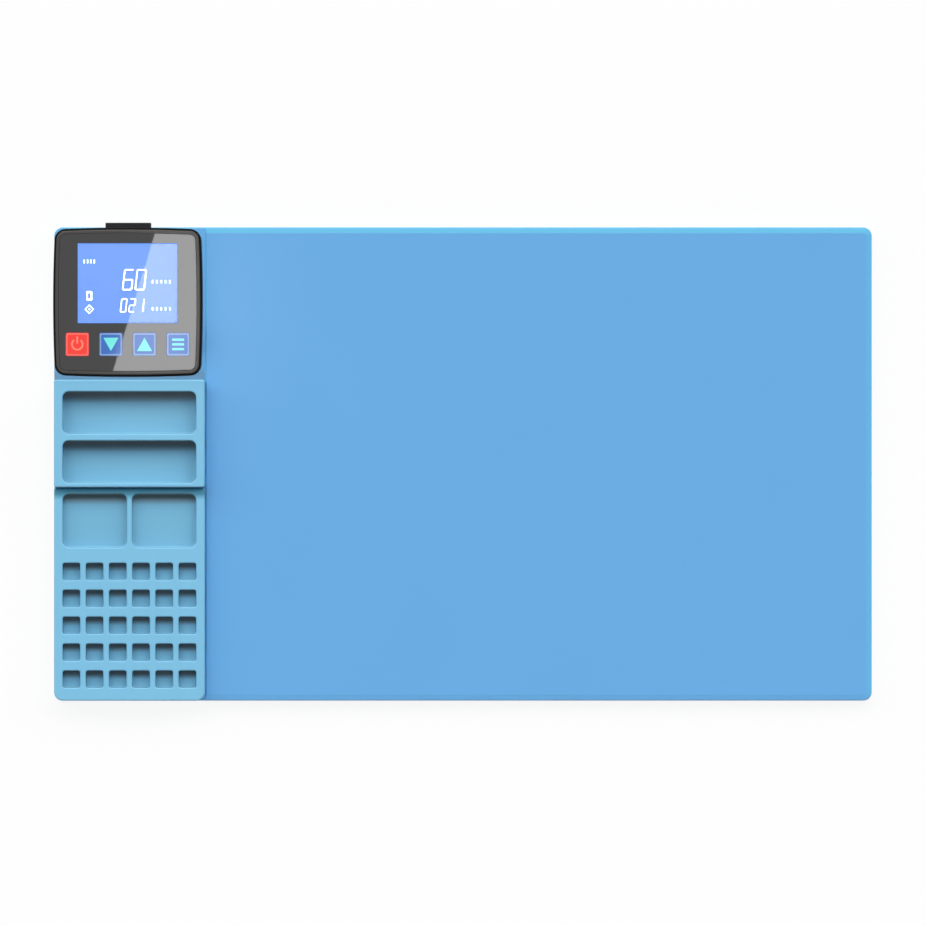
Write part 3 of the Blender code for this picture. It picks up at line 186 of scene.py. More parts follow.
sheet.from_pydata([(x, y, -FLOOR_DROP) for x, y in corners], [], [(0, 1, 2, 3)])
sheet.materials.append(paper)
floor = placed("floor", sheet)

for name, (strength, (to_right, to_back), spread) in LIGHTS.items():
    lamp_data = bpy.data.lights.new(name, "SUN")
    lamp_data.energy = strength
    lamp_data.angle = math.radians(spread)
    lamp_data.cycles.use_multiple_importance_sampling = False
    lamp = placed(name, lamp_data)
    lean = Vector((math.tan(math.radians(to_right)), math.tan(math.radians(to_back)), 1))
    lamp.rotation_mode = "QUATERNION"
    lamp.rotation_quaternion = lean.to_track_quat("Z", "Y")
print("lights", sorted(LIGHTS))

# %% [markdown]
# ## Shared surface effects
# Silicone, moulded plastic, foil and felt all vary a little: patches where the sheet is paler, a
# gloss that isn't even, and a fine grain that only shows as a broken highlight. These are built once
# as node groups with named inputs and placed in each material with its own sizes in metres.

# %% Build the node groups
def new_group(name, inputs, outputs):
    group = bpy.data.node_groups.new(name, "ShaderNodeTree")
    for label, kind in inputs:
        group.interface.new_socket(label, in_out="INPUT", socket_type=f"NodeSocket{kind}")
    for label, kind in outputs:
        group.interface.new_socket(label, in_out="OUTPUT", socket_type=f"NodeSocket{kind}")
    return group, group.nodes.new("NodeGroupInput"), group.nodes.new("NodeGroupOutput")


def arithmetic(tree, operation, first, second):
    """A Math node on two sockets or plain numbers."""
    node = tree.nodes.new("ShaderNodeMath")
    node.operation = operation
    for slot, value in enumerate((first, second)):
        if isinstance(value, (int, float)):
            node.inputs[slot].default_value = value
        else:
            tree.links.new(value, node.inputs[slot])
    return node.outputs[0]


def product(tree, mask, *others):
    """Several masks multiplied."""
    for other in others:
        mask = arithmetic(tree, "MULTIPLY", mask, other)
    return mask


def object_axes(tree):
    """The X, Y and Z sockets of a point in the piece's own metres."""
    place = tree.nodes.new("ShaderNodeTexCoord")
    apart = tree.nodes.new("ShaderNodeSeparateXYZ")
    tree.links.new(place.outputs["Object"], apart.inputs[0])
    return apart.outputs


def object_noise(tree, size, stretch=(1, 1, 1), detail=2.0):
    """Noise in the piece's own metres; size is a socket that holds the width of one patch."""
    place = tree.nodes.new("ShaderNodeTexCoord")
    scale = tree.nodes.new("ShaderNodeMapping")
    scale.inputs["Scale"].default_value = stretch
    noise = tree.nodes.new("ShaderNodeTexNoise")
    noise.inputs["Detail"].default_value = detail
    join_up(
        tree,
        (place.outputs["Object"], scale.inputs["Vector"]),
        (scale.outputs["Vector"], noise.inputs["Vector"]),
        (arithmetic(tree, "DIVIDE", 1.0, size), noise.inputs["Scale"]),
    )
    return noise.outputs["Fac"]


def build_grain(name, stretch):
    """Patches of shade and gloss, and a fine relief, along the stretch given."""
    group, given, made = new_group(
        name,
        (("Color", "Color"), ("Shade Change", "Float"), ("Patch Size", "Float"),
         ("Roughness", "Float"), ("Gloss Change", "Float"), ("Grain Size", "Float")),
        (("Color", "Color"), ("Roughness", "Float"), ("Height", "Float")),
    )
    patches = object_noise(group, given.outputs["Patch Size"], stretch)
    fine = object_noise(group, given.outputs["Grain Size"], stretch, 4.0)
    swing = arithmetic(group, "MULTIPLY", arithmetic(group, "SUBTRACT", patches, 0.5), 2.0)
    shade = arithmetic(group, "MULTIPLY", swing, given.outputs["Shade Change"])
    tint = group.nodes.new("ShaderNodeVectorMath")
    tint.operation = "SCALE"
    gloss = arithmetic(group, "MULTIPLY", swing, given.outputs["Gloss Change"])
    join_up(
        group,
        (given.outputs["Color"], tint.inputs[0]),
        (arithmetic(group, "ADD", shade, 1.0), tint.inputs["Scale"]),
        (tint.outputs[0], made.inputs["Color"]),
        (arithmetic(group, "ADD", gloss, given.outputs["Roughness"]), made.inputs["Roughness"]),
        (fine, made.inputs["Height"]),
    )
    return group


grain = build_grain("moulded_grain", (1, 1, 1))
brushing = build_grain("brushed_grain", (1, 30, 30))
print("groups", grain.name, brushing.name)

# %% [markdown]
# ## Finishes
# Each finish is one Principled shader. Its colour, roughness and fine relief come from a group, and
# what is the same all over, such as metal, coat or glass, is set on the shader itself. The colours
# are linear values, a little darker than they look, because the white studio adds its own sheen.

# %% Mix the finishes
def finish(name, colour, roughness, group=grain, shade=0.04, patch=0.012, gloss=0.05, size=0.0004,
           relief=0.00002, **sockets):
    """A material from a base colour, a grain group and fixed shader sockets."""
    material = bpy.data.materials.new(name)
    material.use_nodes = True
    tree = material.node_tree
    shader = tree.nodes["Principled BSDF"]
    surface = tree.nodes.new("ShaderNodeGroup")
    surface.name = "surface"
    surface.node_tree = group
    values = {"Color": (*colour, 1), "Shade Change": shade, "Patch Size": patch,
              "Roughness": roughness, "Gloss Change": gloss, "Grain Size": size}
    for label, value in values.items():
        surface.inputs[label].default_value = value
    bump = tree.nodes.new("ShaderNodeBump")
    bump.inputs["Distance"].default_value = relief
    join_up(
        tree,
        (surface.outputs["Color"], shader.inputs["Base Color"]),
        (surface.outputs["Roughness"], shader.inputs["Roughness"]),
        (surface.outputs["Height"], bump.inputs["Height"]),
        (bump.outputs["Normal"], shader.inputs["Normal"]),
    )
    for label, value in sockets.items():
        shader.inputs[label.replace("_", " ")].default_value = value
    return material


finishes = {
    "mat_silicone": finish("mat_silicone", (0.116, 0.371, 0.711), 0.52, shade=0.02, patch=0.06),
    "tray_silicone": finish("tray_silicone", (0.187, 0.487, 0.707), 0.50, shade=0.02, patch=0.03),
    "white_felt": finish("white_felt", (0.72, 0.70, 0.64), 0.95, shade=0.15, patch=0.003,
                         size=0.0006, relief=0.0002, Sheen_Weight=0.3),
    "amber_film": finish("amber_film", (0.55, 0.22, 0.04), 0.32, shade=0.06, relief=0.00001),
    "etched_foil": finish("etched_foil", (0.62, 0.56, 0.48), 0.34, brushing, Metallic=1.0),
    "aluminium": finish("aluminium", (0.78, 0.79, 0.80), 0.30, brushing, Metallic=1.0),
    "black_plastic": finish("black_plastic", (0.007, 0.007, 0.008), 0.42, shade=0.10, patch=0.006,
                            relief=0.00003, Specular_IOR_Level=0.22),
    "black_rubber": finish("black_rubber", (0.015, 0.015, 0.015), 0.80, shade=0.15, patch=0.002),
    "panel_gloss": finish("panel_gloss", (0.021, 0.021, 0.022), 0.04, shade=0.03, gloss=0.01,
                          size=0.004, relief=0.000002, Coat_Weight=0.3, Coat_Roughness=0.03),
    "white_plastic": finish("white_plastic", (0.80, 0.80, 0.78), 0.42),
    "circuit_board": finish("circuit_board", (0.02, 0.19, 0.09), 0.40, shade=0.25, patch=0.0016,
                            size=0.0012, relief=0.00003),
    "steel": finish("steel", (0.60, 0.60, 0.60), 0.30, brushing, Metallic=1.0),
    "brass": finish("brass", (0.78, 0.60, 0.28), 0.28, brushing, Metallic=1.0),
    "relay_blue": finish("relay_blue", (0.04, 0.16, 0.48), 0.40),
    "capacitor_yellow": finish("capacitor_yellow", (0.78, 0.55, 0.08), 0.45),
    "ferrite": finish("ferrite", (0.09, 0.085, 0.08), 0.70, shade=0.35, patch=0.0008, size=0.0003,
                      relief=0.00005),
    "winding_tape": finish("winding_tape", (0.75, 0.62, 0.10), 0.42, shade=0.12, patch=0.002),
    "terminal_green": finish("terminal_green", (0.05, 0.32, 0.12), 0.45),
    "lead_red": finish("lead_red", (0.60, 0.05, 0.04), 0.50, shade=0.08, patch=0.003),
    "lead_white": finish("lead_white", (0.75, 0.74, 0.70), 0.50, shade=0.08, patch=0.003),
    "red_key": finish("red_key", (0.95, 0.055, 0.045), 0.16, shade=0.04, patch=0.004, gloss=0.03,
                      Specular_IOR_Level=0.28),
    "blue_key": finish("blue_key", (0.034, 0.143, 0.500), 0.14, shade=0.06, patch=0.004, gloss=0.03,
                       Specular_IOR_Level=0.42),
    "clear_lens": finish("clear_lens", (0.97, 0.98, 1.0), 0.02, shade=0.01, gloss=0.005, size=0.004,
                         relief=0.000001, Transmission_Weight=1.0, IOR=1.49),
    "fuse_glass": finish("fuse_glass", (0.90, 0.94, 0.93), 0.04, shade=0.02, gloss=0.01,
                         size=0.002, relief=0.000003, Transmission_Weight=0.8, IOR=1.45),
    "display_blue": finish("display_blue", (0.02, 0.03, 0.08), 0.25, shade=0.05, size=0.003,
                           relief=0.000003, Emission_Strength=1.0, Specular_IOR_Level=0.0),
}
print(len(finishes), "finishes")

# %% [markdown]
# ## The mat's turned-over edge
# Light is painted on the mat's turned-over edge: a greener painted highlight where the edge leans
# to the back, towards the main lamp, and a paler painted tone where it leans to the front. How far
# the surface leans away from level is the mask, and which way it leans picks the colour. A helper
# sets a second colour over the first one, wherever a mask is 1, and the trays use it too.

# %% Paint light on the mat's edge
PAINTED_LIGHT_BACK = (0.073, 0.405, 0.632, 1)
PAINTED_LIGHT_FRONT = (0.143, 0.445, 0.825, 1)
LEVEL_Z = 0.996
TURNED_Z = 0.970
LEAN_Y = 0.25


def mix_colours(tree, share, first, second, blend="MIX"):
    """A colour mix; first and second are sockets or plain colours."""
    mix = tree.nodes.new("ShaderNodeMix")
    mix.data_type = "RGBA"
    mix.blend_type = blend
    slots = [socket for socket in mix.inputs if socket.type == "RGBA"]
    for slot, value in zip(slots, (first, second)):
        if isinstance(value, tuple):
            slot.default_value = value
        else:
            tree.links.new(value, slot)
    tree.links.new(share, mix.inputs[0])
    return next(socket for socket in mix.outputs if socket.type == "RGBA")


def tint_where(tree, mask, colour, blend="MIX"):
    """Sets a colour or a colour socket over the base colour where the mask is 1."""
    base = tree.nodes["Principled BSDF"].inputs["Base Color"]
    tree.links.new(mix_colours(tree, mask, base.links[0].from_socket, colour, blend), base)


def ranged(tree, value, low, high):
    """A Map Range node: 0 at low and 1 at high."""
    node = tree.nodes.new("ShaderNodeMapRange")
    node.inputs["From Min"].default_value = low
    node.inputs["From Max"].default_value = high
    tree.links.new(value, node.inputs["Value"])
    return node.outputs["Result"]


tree = finishes["mat_silicone"].node_tree
shape = tree.nodes.new("ShaderNodeNewGeometry")
lean = tree.nodes.new("ShaderNodeSeparateXYZ")
tree.links.new(shape.outputs["Normal"], lean.inputs[0])
# Painted light: the edge's colour follows which way it leans towards the lamps.
edge = mix_colours(tree, ranged(tree, lean.outputs["Y"], -LEAN_Y, LEAN_Y), PAINTED_LIGHT_FRONT, PAINTED_LIGHT_BACK)
tint_where(tree, ranged(tree, lean.outputs["Z"], LEVEL_Z, TURNED_Z), edge)
print("edge tint from", LEVEL_Z, "to", TURNED_Z)

# %% [markdown]
# ### The strip in front of the controller
# A strip of the mat's seat lies between the box and the tool tray, in a slot that little light
# reaches. A painted shade darkens it in place of the box's shadow, which the lamps don't cast.
# Its mask is a rectangle on the piece's own metres that fades out beside the box's corners.

# %% Paint shade on the strip
PAINTED_STRIP_SHADE = (0.120, 0.262, 0.410, 1)
STRIP_FADE = 0.0055

box_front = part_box("housing_base")[0].y
tool_low, tool_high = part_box("tool_tray")
axes = object_axes(tree)
before_box = ranged(tree, axes["Y"], box_front + STRIP_FADE, box_front + STRIP_FADE / 4)
behind_tray = arithmetic(tree, "GREATER_THAN", axes["Y"], tool_low.y)
beside_mat = arithmetic(tree, "LESS_THAN", axes["X"], tool_high.x)
# Painted shade on the strip in front of the box.
tint_where(tree, product(tree, before_box, behind_tray, beside_mat), PAINTED_STRIP_SHADE)
print("strip from", round(tool_high.y, 4), "to", round(box_front, 4))

# %% [markdown]
# ### The pockets' walls
# The foot of each pocket's wall gets little light, and that shade is painted into its colour, so the
# walls are darker than the tops and throw less light onto the floors. The mask is an attribute that
# the trays carry on their points.

# %% Paint shade on the pockets' walls
PAINTED_WALL_SHADE = (0.060, 0.125, 0.150, 1)
WALL_SHADE_ATTRIBUTE = "pocket_wall"

tree = finishes["tray_silicone"].node_tree
wall_shade_mask = tree.nodes.new("ShaderNodeAttribute")
wall_shade_mask.attribute_name = WALL_SHADE_ATTRIBUTE
# Painted shade on the pockets' walls.
tint_where(tree, wall_shade_mask.outputs["Fac"], PAINTED_WALL_SHADE)
print("walls read", WALL_SHADE_ATTRIBUTE)

# %% [markdown]
# ### The foot of the step
# The tool tray stands higher than the screw tray, and little light comes to the foot of that step, so
# shade is painted there. The painted shade covers the screw tray's back rim and fades over the first
# millimetres of its squares.

# %% Paint shade at the foot of the step
PAINTED_STEP_SHADE = (0.048, 0.245, 0.365, 1)
STEP_FULL = 0.0032
STEP_END = 0.0058
STEP_MARGIN = 0.0003

screw_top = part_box("screw_tray")[1].z
axes = object_axes(tree)
near_step = ranged(tree, axes["Y"], tool_low.y - STEP_END, tool_low.y - STEP_FULL)
under_step = arithmetic(tree, "LESS_THAN", axes["Y"], tool_low.y)
below_top = arithmetic(tree, "LESS_THAN", axes["Z"], screw_top + STEP_MARGIN)
# Painted shade at the foot of the step.
tint_where(tree, product(tree, near_step, under_step, below_top), PAINTED_STEP_SHADE)
print("step shade to", round(tool_low.y - STEP_END, 4))

# %% [markdown]
# ## The lit display
# A backlit display isn't one blue: the light enters from one side of the diffuser and fades a
# little across it. The fade is a gradient on the piece's own metres, and feeds Emission Color.

# %% Light the display
DISPLAY_NEAR = (0.095, 0.270, 0.860, 1)
DISPLAY_FAR = (0.115, 0.295, 0.890, 1)

display_low, display_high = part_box("lcd_glass")
tree = finishes["display_blue"].node_tree
across = ranged(tree, object_axes(tree)["Y"], display_low.y, display_high.y)
tree.links.new(mix_colours(tree, across, DISPLAY_NEAR, DISPLAY_FAR),
               tree.nodes["Principled BSDF"].inputs["Emission Color"])
print("display from", round(display_low.y, 4), "to", round(display_high.y, 4))

# %% [markdown]
# ## Give every solid its finish
# The record says which finish each solid takes. Most solids inside the controller and the mat show
# through no opening, but they are part of the model, so they are dressed like the rest.

# %% Dress the solids
slot_of = {row["node"]: row["material_slot"] for row in frame["record"]["subparts"]}
for node, slot_name in slot_of.items():
    solid = frame["nodes"][node]
    if not solid.material_slots:
        solid.data.materials.append(finishes[slot_name])
    for held in solid.material_slots:
        held.material = finishes[slot_name]
print(len(slot_of), "solids dressed")

# %% [markdown]
# ## Drawing with rings
# Most pieces here are mouldings: an outline that rises, draws in and turns over at an edge. A list
# of rings with equal numbers of points says all of that, and a bridge between neighbouring rings
# makes the skin. Edges are rounded by more rings, not by a texture.

# %% Outlines, rings and lofts
CORNERS = ((1, -1), (1, 1), (-1, 1), (-1, -1))
QUARTER = math.pi / 2
SHARP_ANGLE = 35


def rounded_outline(width, depth, radius, middle=(0, 0), steps=8):
    """A rounded rectangle; radius may be four values from the front right corner anticlockwise."""
    radii = radius if isinstance(radius, tuple) else (radius,) * 4
    points = []
    for quarter, ((side, end), bend) in enumerate(zip(CORNERS, radii)):
        for step in range(steps + 1):
            angle = QUARTER * (quarter - 1 + step / steps)
            points.append((middle[0] + side * (width / 2 - bend) + bend * math.cos(angle),
                           middle[1] + end * (depth / 2 - bend) + bend * math.sin(angle)))
    return points


def round_outline(radius, middle=(0, 0), steps=32):
    angles = [4 * QUARTER * step / steps for step in range(steps)]
    return [(middle[0] + radius * math.cos(angle), middle[1] + radius * math.sin(angle))
            for angle in angles]


def at(outline, height):
    return [(x, y, height) for x, y in outline]


def prism(outline, bottom, top):
    return [at(outline, bottom), at(outline, top)]


def mesh_of(name, shape):
    """The mesh of a bmesh, which is freed."""
    mesh = bpy.data.meshes.new(name)
    shape.to_mesh(mesh)
    shape.free()
    return mesh


def loft(name, bodies, material=None, hollow=False):
    """A mesh object of lofted bodies. A hollow one closes on its first ring and has no end caps."""
    shape = bmesh.new()
    for rings in bodies:
        made = [[shape.verts.new(point) for point in ring] for ring in rings]
        pairs = list(zip(made, made[1:])) + ([(made[-1], made[0])] if hollow else [])
        for lower, upper in pairs:
            for here in range(len(lower)):
                there = (here + 1) % len(lower)
                shape.faces.new((lower[here], lower[there], upper[there], upper[here]))
        if not hollow:
            shape.faces.new(reversed(made[0]))
            shape.faces.new(made[-1])
    bmesh.ops.recalc_face_normals(shape, faces=shape.faces)
    mesh = mesh_of(name, shape)
    if material:
        mesh.materials.append(material)
    return placed(name, mesh)


def rounded_top(outline_of, bottom, top, rounding, steps=6):
    """Rings of a block whose top edge is turned over on a radius."""
    rings = [at(outline_of(0), bottom)]
    for step in range(steps + 1):
        angle = QUARTER * step / steps
        drop = rounding * (1 - math.sin(angle))
        rings.append(at(outline_of(rounding * (1 - math.cos(angle))), top - drop))
    return rings


def cut_from(piece, *tools):
    """Cuts other objects out of the piece. They go with the live modifiers, in settle."""
    for tool in tools:
        step = piece.modifiers.new(tool.name, "BOOLEAN")
        step.operation = "DIFFERENCE"
        step.object = tool


def apply_modifiers(piece):
    """Turns live modifiers into a plain mesh."""
    bpy.context.view_layer.update()
    seen = bpy.context.evaluated_depsgraph_get()
    mesh = bpy.data.meshes.new_from_object(piece.evaluated_get(seen), depsgraph=seen)
    piece.modifiers.clear()
    piece.data = mesh


def settle(piece, tools=()):
    """Ends a piece as a plain mesh, shaded smooth apart from its sharp edges, and drops its tools."""
    apply_modifiers(piece)
    piece.data.shade_smooth()
    piece.data.set_sharp_from_angle(angle=math.radians(SHARP_ANGLE))
    even = piece.modifiers.new("even_flats", "WEIGHTED_NORMAL")
    even.keep_sharp = True
    apply_modifiers(piece)
    for tool in tools:
        bpy.data.objects.remove(tool, do_unlink=True)
    return piece


def middle_of(low, high):
    """The middle of a box in plan."""
    return (low.x + high.x) / 2, (low.y + high.y) / 2


def belongs(piece, body, slot_name, *nodes):
    """Puts a finished piece on its body and hides the solids that it stands for. slot_name is not used."""
    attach(piece, body)
    if nodes:
        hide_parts(*nodes)
    print(piece.name, len(piece.data.polygons), "faces on", body)


# %% [markdown]
# ## The mat
# The mat is one silicone moulding: a skin over the heater, a rim around it and a shallow seat at
# the left that locates the trays and the controller. Its top edge falls in a shallow bevel that
# ends in a small radius, given here as pairs of how far in and how far down. It is lofted from a
# rounded rectangle. The hollows for the heater and the clamp plate are cut from below, and the leads
# have a well from the top and a tunnel that joins it to the heater.

# %% Mould the mat
MAT_CORNER = 0.0040
MAT_EDGE = ((0, 0.00150), (0.00006, 0.00110), (0.00022, 0.00080), (0.00050, 0.00060),
            (0.00090, 0.00048), (0.00250, 0.00010), (0.00290, 0))
UNDER_EDGE = 0.0004
GAP = 0.0003
CUT_MARGIN = 0.0020
SEAT_SLOPE = 0.0005

mat_size = mat_high - mat_low
tray_low, tray_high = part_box("screw_tray")
sheet_low, sheet_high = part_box("base_sheet")
spreader_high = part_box("heat_spreader")[1]
clamp_low, clamp_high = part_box("clamp_plate")


def mat_outline(inset):
    return rounded_outline(mat_size.x - 2 * inset, mat_size.y - 2 * inset, MAT_CORNER - inset, steps=10)


mat_rings = [at(mat_outline(0), UNDER_EDGE)]
mat_rings += [at(mat_outline(inset), mat_high.z - drop) for inset, drop in MAT_EDGE]
mat_piece = loft("mat_moulding", [[at(mat_outline(UNDER_EDGE), 0)] + mat_rings],
                 finishes["mat_silicone"])
seat_width = tray_high.x + GAP - mat_low.x
seat_top = tray_low.z - GAP


def seat_outline(outset):
    return rounded_outline(2 * (seat_width + outset), 2 * mat_size.y, CUT_MARGIN, (mat_low.x, 0))


seat = loft("seat_cut", [[
    at(seat_outline(0), seat_top),
    at(seat_outline(SEAT_SLOPE), mat_high.z),
    at(seat_outline(SEAT_SLOPE), mat_high.z + CUT_MARGIN),
]])


def hollow_below(name, low, high, radius, ceiling):
    """The space round a flat piece that is let into the underside."""
    outline = rounded_outline(high.x - low.x + 2 * GAP, high.y - low.y + 2 * GAP, radius,
                              middle_of(low, high))
    return loft(name, [prism(outline, -CUT_MARGIN, ceiling)])


HEATER_CORNER = 0.0060
CLAMP_CORNER = 0.0034
heater_hollow = hollow_below("heater_cut", sheet_low, sheet_high, HEATER_CORNER, spreader_high.z + GAP)
clamp_hollow = hollow_below("clamp_cut", clamp_low, clamp_high, CLAMP_CORNER, clamp_high.z + GAP)
screw_nodes = [f"clamp_screw_{number}" for number in range(1, 5)]
SHANK_RADIUS = 0.0015
screw_middles = [middle_of(*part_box(node)) for node in screw_nodes]
shank_holes = loft("shank_cut", [
    prism(round_outline(SHANK_RADIUS + GAP, middle), -CUT_MARGIN, mat_high.z + CUT_MARGIN)
    for middle in screw_middles
])
grommet_low, grommet_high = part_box("lead_grommet")
lead_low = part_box("heater_lead_3")[0]
LEAD = 0.0014
passage = LEAD + 2 * GAP
lead_top = lead_low.z + LEAD + GAP
well_middle = (grommet_low + grommet_high) / 2
well_reach = (grommet_high.x - grommet_low.x) / 2 + GAP
lead_span = grommet_high.y - grommet_low.y - 4 * GAP
lead_well = loft("well_cut", [prism(
    rounded_outline(2 * well_reach, lead_span, passage / 4, (well_middle.x, well_middle.y)),
    lead_low.z - GAP, mat_high.z + CUT_MARGIN,
)])
tunnel_length = sheet_low.x - well_middle.x + CUT_MARGIN
lead_tunnel = loft("tunnel_cut", [prism(
    rounded_outline(tunnel_length, lead_span - GAP, passage / 4,
                    (well_middle.x + tunnel_length / 2, well_middle.y)),
    lead_low.z - GAP, lead_top,
)])
mat_tools = (seat, heater_hollow, clamp_hollow, shank_holes, lead_well, lead_tunnel)
cut_from(mat_piece, *mat_tools)
settle(mat_piece, tools=mat_tools)
belongs(mat_piece, "pad", "mat_silicone", "work_mat")

# %% [markdown]
# ## The trays
# Both trays are blocks with rows of equal pockets, so their shape follows a rule: one pocket, a
# number of columns and rows, and a pitch. Geometry Nodes hold that rule. The tree sets a cutter on
# each point of a grid and takes them all from the block. The cutter carries the radius of the
# pocket's floor and the turned-over edge of its mouth.

# %% Build the pocket tree
def new_tree(name, inputs):
    """A geometry tree with named inputs."""
    tree = bpy.data.node_groups.new(name, "GeometryNodeTree")
    tree.interface.new_socket("Geometry", in_out="INPUT", socket_type="NodeSocketGeometry")
    for label, kind in inputs:
        tree.interface.new_socket(label, in_out="INPUT", socket_type=f"NodeSocket{kind}")
    tree.interface.new_socket("Geometry", in_out="OUTPUT", socket_type="NodeSocketGeometry")
    return tree, tree.nodes.new("NodeGroupInput"), tree.nodes.new("NodeGroupOutput")


def end_tree(tree, geometry, given, made):
    """Ends a tree in Realize Instances and Set Material."""
    real = tree.nodes.new("GeometryNodeRealizeInstances")
    coat = tree.nodes.new("GeometryNodeSetMaterial")
    join_up(
        tree,
        (geometry, real.inputs["Geometry"]),
        (real.outputs["Geometry"], coat.inputs["Geometry"]),
        (given.outputs["Finish"], coat.inputs["Material"]),
        (coat.outputs["Geometry"], made.inputs["Geometry"]),
    )


def run_tree(target, tree, **values):
    """Puts a tree on an object, with its inputs set by their identifiers."""
    step = target.modifiers.new(tree.name, "NODES")
    step.node_group = tree
    for item in tree.interface.items_tree:
        label = item.name.lower().replace(" ", "_")
        if item.in_out == "INPUT" and label in values:
            step[item.identifier] = values[label]


pocket_tree, given, made = new_tree("pocket_rows", (
    ("Cutter", "Object"), ("Columns", "Int"), ("Rows", "Int"), ("Column Pitch", "Float"),
    ("Row Pitch", "Float"), ("Middle", "Vector"), ("Finish", "Material"),
))
points = pocket_tree.nodes.new("GeometryNodeMeshGrid")
for size_name, count_name, pitch_name in (
    ("Size X", "Columns", "Column Pitch"), ("Size Y", "Rows", "Row Pitch"),
):
    gaps = arithmetic(pocket_tree, "SUBTRACT", given.outputs[count_name], 1)
    span = arithmetic(pocket_tree, "MULTIPLY", gaps, given.outputs[pitch_name])
    pocket_tree.links.new(span, points.inputs[size_name])
moved = pocket_tree.nodes.new("GeometryNodeTransform")
source = pocket_tree.nodes.new("GeometryNodeObjectInfo")
source.inputs["As Instance"].default_value = True
set_out = pocket_tree.nodes.new("GeometryNodeInstanceOnPoints")
real = pocket_tree.nodes.new("GeometryNodeRealizeInstances")
taken = pocket_tree.nodes.new("GeometryNodeMeshBoolean")
taken.operation = "DIFFERENCE"
taken.solver = "EXACT"
join_up(
    pocket_tree,
    (given.outputs["Columns"], points.inputs["Vertices X"]),
    (given.outputs["Rows"], points.inputs["Vertices Y"]),
    (points.outputs["Mesh"], moved.inputs["Geometry"]),
    (given.outputs["Middle"], moved.inputs["Translation"]),
    (moved.outputs["Geometry"], set_out.inputs["Points"]),
    (given.outputs["Cutter"], source.inputs["Object"]),
    (source.outputs["Geometry"], set_out.inputs["Instance"]),
    (set_out.outputs["Instances"], real.inputs["Geometry"]),
    (given.outputs["Geometry"], taken.inputs["Mesh 1"]),
    (real.outputs["Geometry"], taken.inputs["Mesh 2"]),
)
end_tree(pocket_tree, taken.outputs["Mesh"], given, made)
print("tree", pocket_tree.name, "with", len(pocket_tree.nodes), "nodes")

# %% [markdown]
# ### One pocket
# The mouth's edge is turned over on a small radius and the floor meets the walls in a fillet, as a
# moulded pocket does. The mouth stops a little short of the tangent, so that the cut crosses the
# flat top cleanly.

# %% Draw the pocket cutter
MOUTH_EDGE = 0.0006
FLOOR_FILLET = 0.0007
TRAY_FLOOR = 0.0012
FLOOR_STEPS = 4
MOUTH_STEPS = 6


def pocket_cutter(name, width, length, radius, floor_level, mouth):
    def outline(inset):
        return rounded_outline(width - 2 * inset, length - 2 * inset, radius - inset, steps=6)

    rings = []
    for step in range(FLOOR_STEPS + 1):
        angle = QUARTER * step / FLOOR_STEPS
        rings.append(at(outline(FLOOR_FILLET * (1 - math.sin(angle))),
                        floor_level + FLOOR_FILLET * (1 - math.cos(angle))))
    for step in range(MOUTH_STEPS):
        angle = QUARTER * step / MOUTH_STEPS
        rings.append(at(outline(MOUTH_EDGE * (math.cos(angle) - 1)),
                        mouth - MOUTH_EDGE * (1 - math.sin(angle))))
    rings.append([(x, y, mouth + CUT_MARGIN) for x, y, _ in rings[-1]])
    return loft(name, [rings])


# %% [markdown]
# ### The tool tray and the screw tray
# The tool tray is the taller one and has two long pockets. The screw tray has two squares and, in
# front of them, five rows of six cells for small screws.

# %% Mould both trays
TRAY_WALL = 0.0040
TRAY_EDGE = 0.0007
TRAY_CORNER = 0.0010
TOOL_POCKET = 0.0197
TOOL_CORNER = 0.0028
TOOL_PITCH = 0.0228
TOOL_BACK_WALL = 0.0055
SQUARE_CORNER = 0.0030
CELL_CORNER = 0.0010
SQUARE_LENGTH = 0.0250
SQUARE_RIB = 0.0024
SQUARE_BACK_WALL = 0.0027
CELL_LENGTH = 0.0080
CELL_RIB = 0.0027
CELL_ROW_PITCH = 0.0125
CELL_BACK_WALL = 0.0072
CELL_COLUMNS = 6
CELL_ROWS = 5


def tray_block(name, node, corner_radii):
    low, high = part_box(node)
    middle = middle_of(low, high)

    def outline(inset):
        radii = tuple(radius - inset for radius in corner_radii)
        return rounded_outline(high.x - low.x - 2 * inset, high.y - low.y - 2 * inset, radii, middle)

    return loft(name, [rounded_top(outline, low.z, high.z, TRAY_EDGE)]), low, high, middle[0]


def mark_wall_shade(piece, low, high):
    """Mask of the painted wall shade: 1 on the foot of the pockets' walls, 0 on their mouths, floors and
    elsewhere.
    """
    floor_level = low.z + TRAY_FLOOR
    marks = []
    for corner in piece.data.vertices:
        x, y, z = corner.co
        inside = (low.x + TRAY_WALL / 2 < x < high.x - TRAY_WALL / 2
                  and low.y + TRAY_WALL / 2 < y < high.y - SQUARE_BACK_WALL / 2)
        near_floor = min(max((z - floor_level) / FLOOR_FILLET, 0), 1)
        near_top = min(max((high.z - MOUTH_EDGE - z) / FLOOR_FILLET, 0), 1)
        marks.append(near_floor * near_top if inside else 0.0)
    piece.data.attributes.new(WALL_SHADE_ATTRIBUTE, "FLOAT", "POINT").data.foreach_set("value", marks)


silicone = finishes["tray_silicone"]
tool_tray, low, high, tray_x = tray_block("tool_tray_moulding", "tool_tray", (TRAY_CORNER,) * 4)
pocket_width = high.x - low.x - 2 * TRAY_WALL
tool_cutter = pocket_cutter("tool_cutter", pocket_width, TOOL_POCKET, TOOL_CORNER,
                            low.z + TRAY_FLOOR, high.z)
pocket_y = high.y - TOOL_BACK_WALL - TOOL_POCKET / 2 - TOOL_PITCH / 2
run_tree(tool_tray, pocket_tree, cutter=tool_cutter, columns=1, rows=2, column_pitch=0.0,
         row_pitch=TOOL_PITCH, middle=(tray_x, pocket_y, 0), finish=silicone)
settle(tool_tray, tools=(tool_cutter,))
mark_wall_shade(tool_tray, low, high)
belongs(tool_tray, "pad", "tray_silicone", "tool_tray")

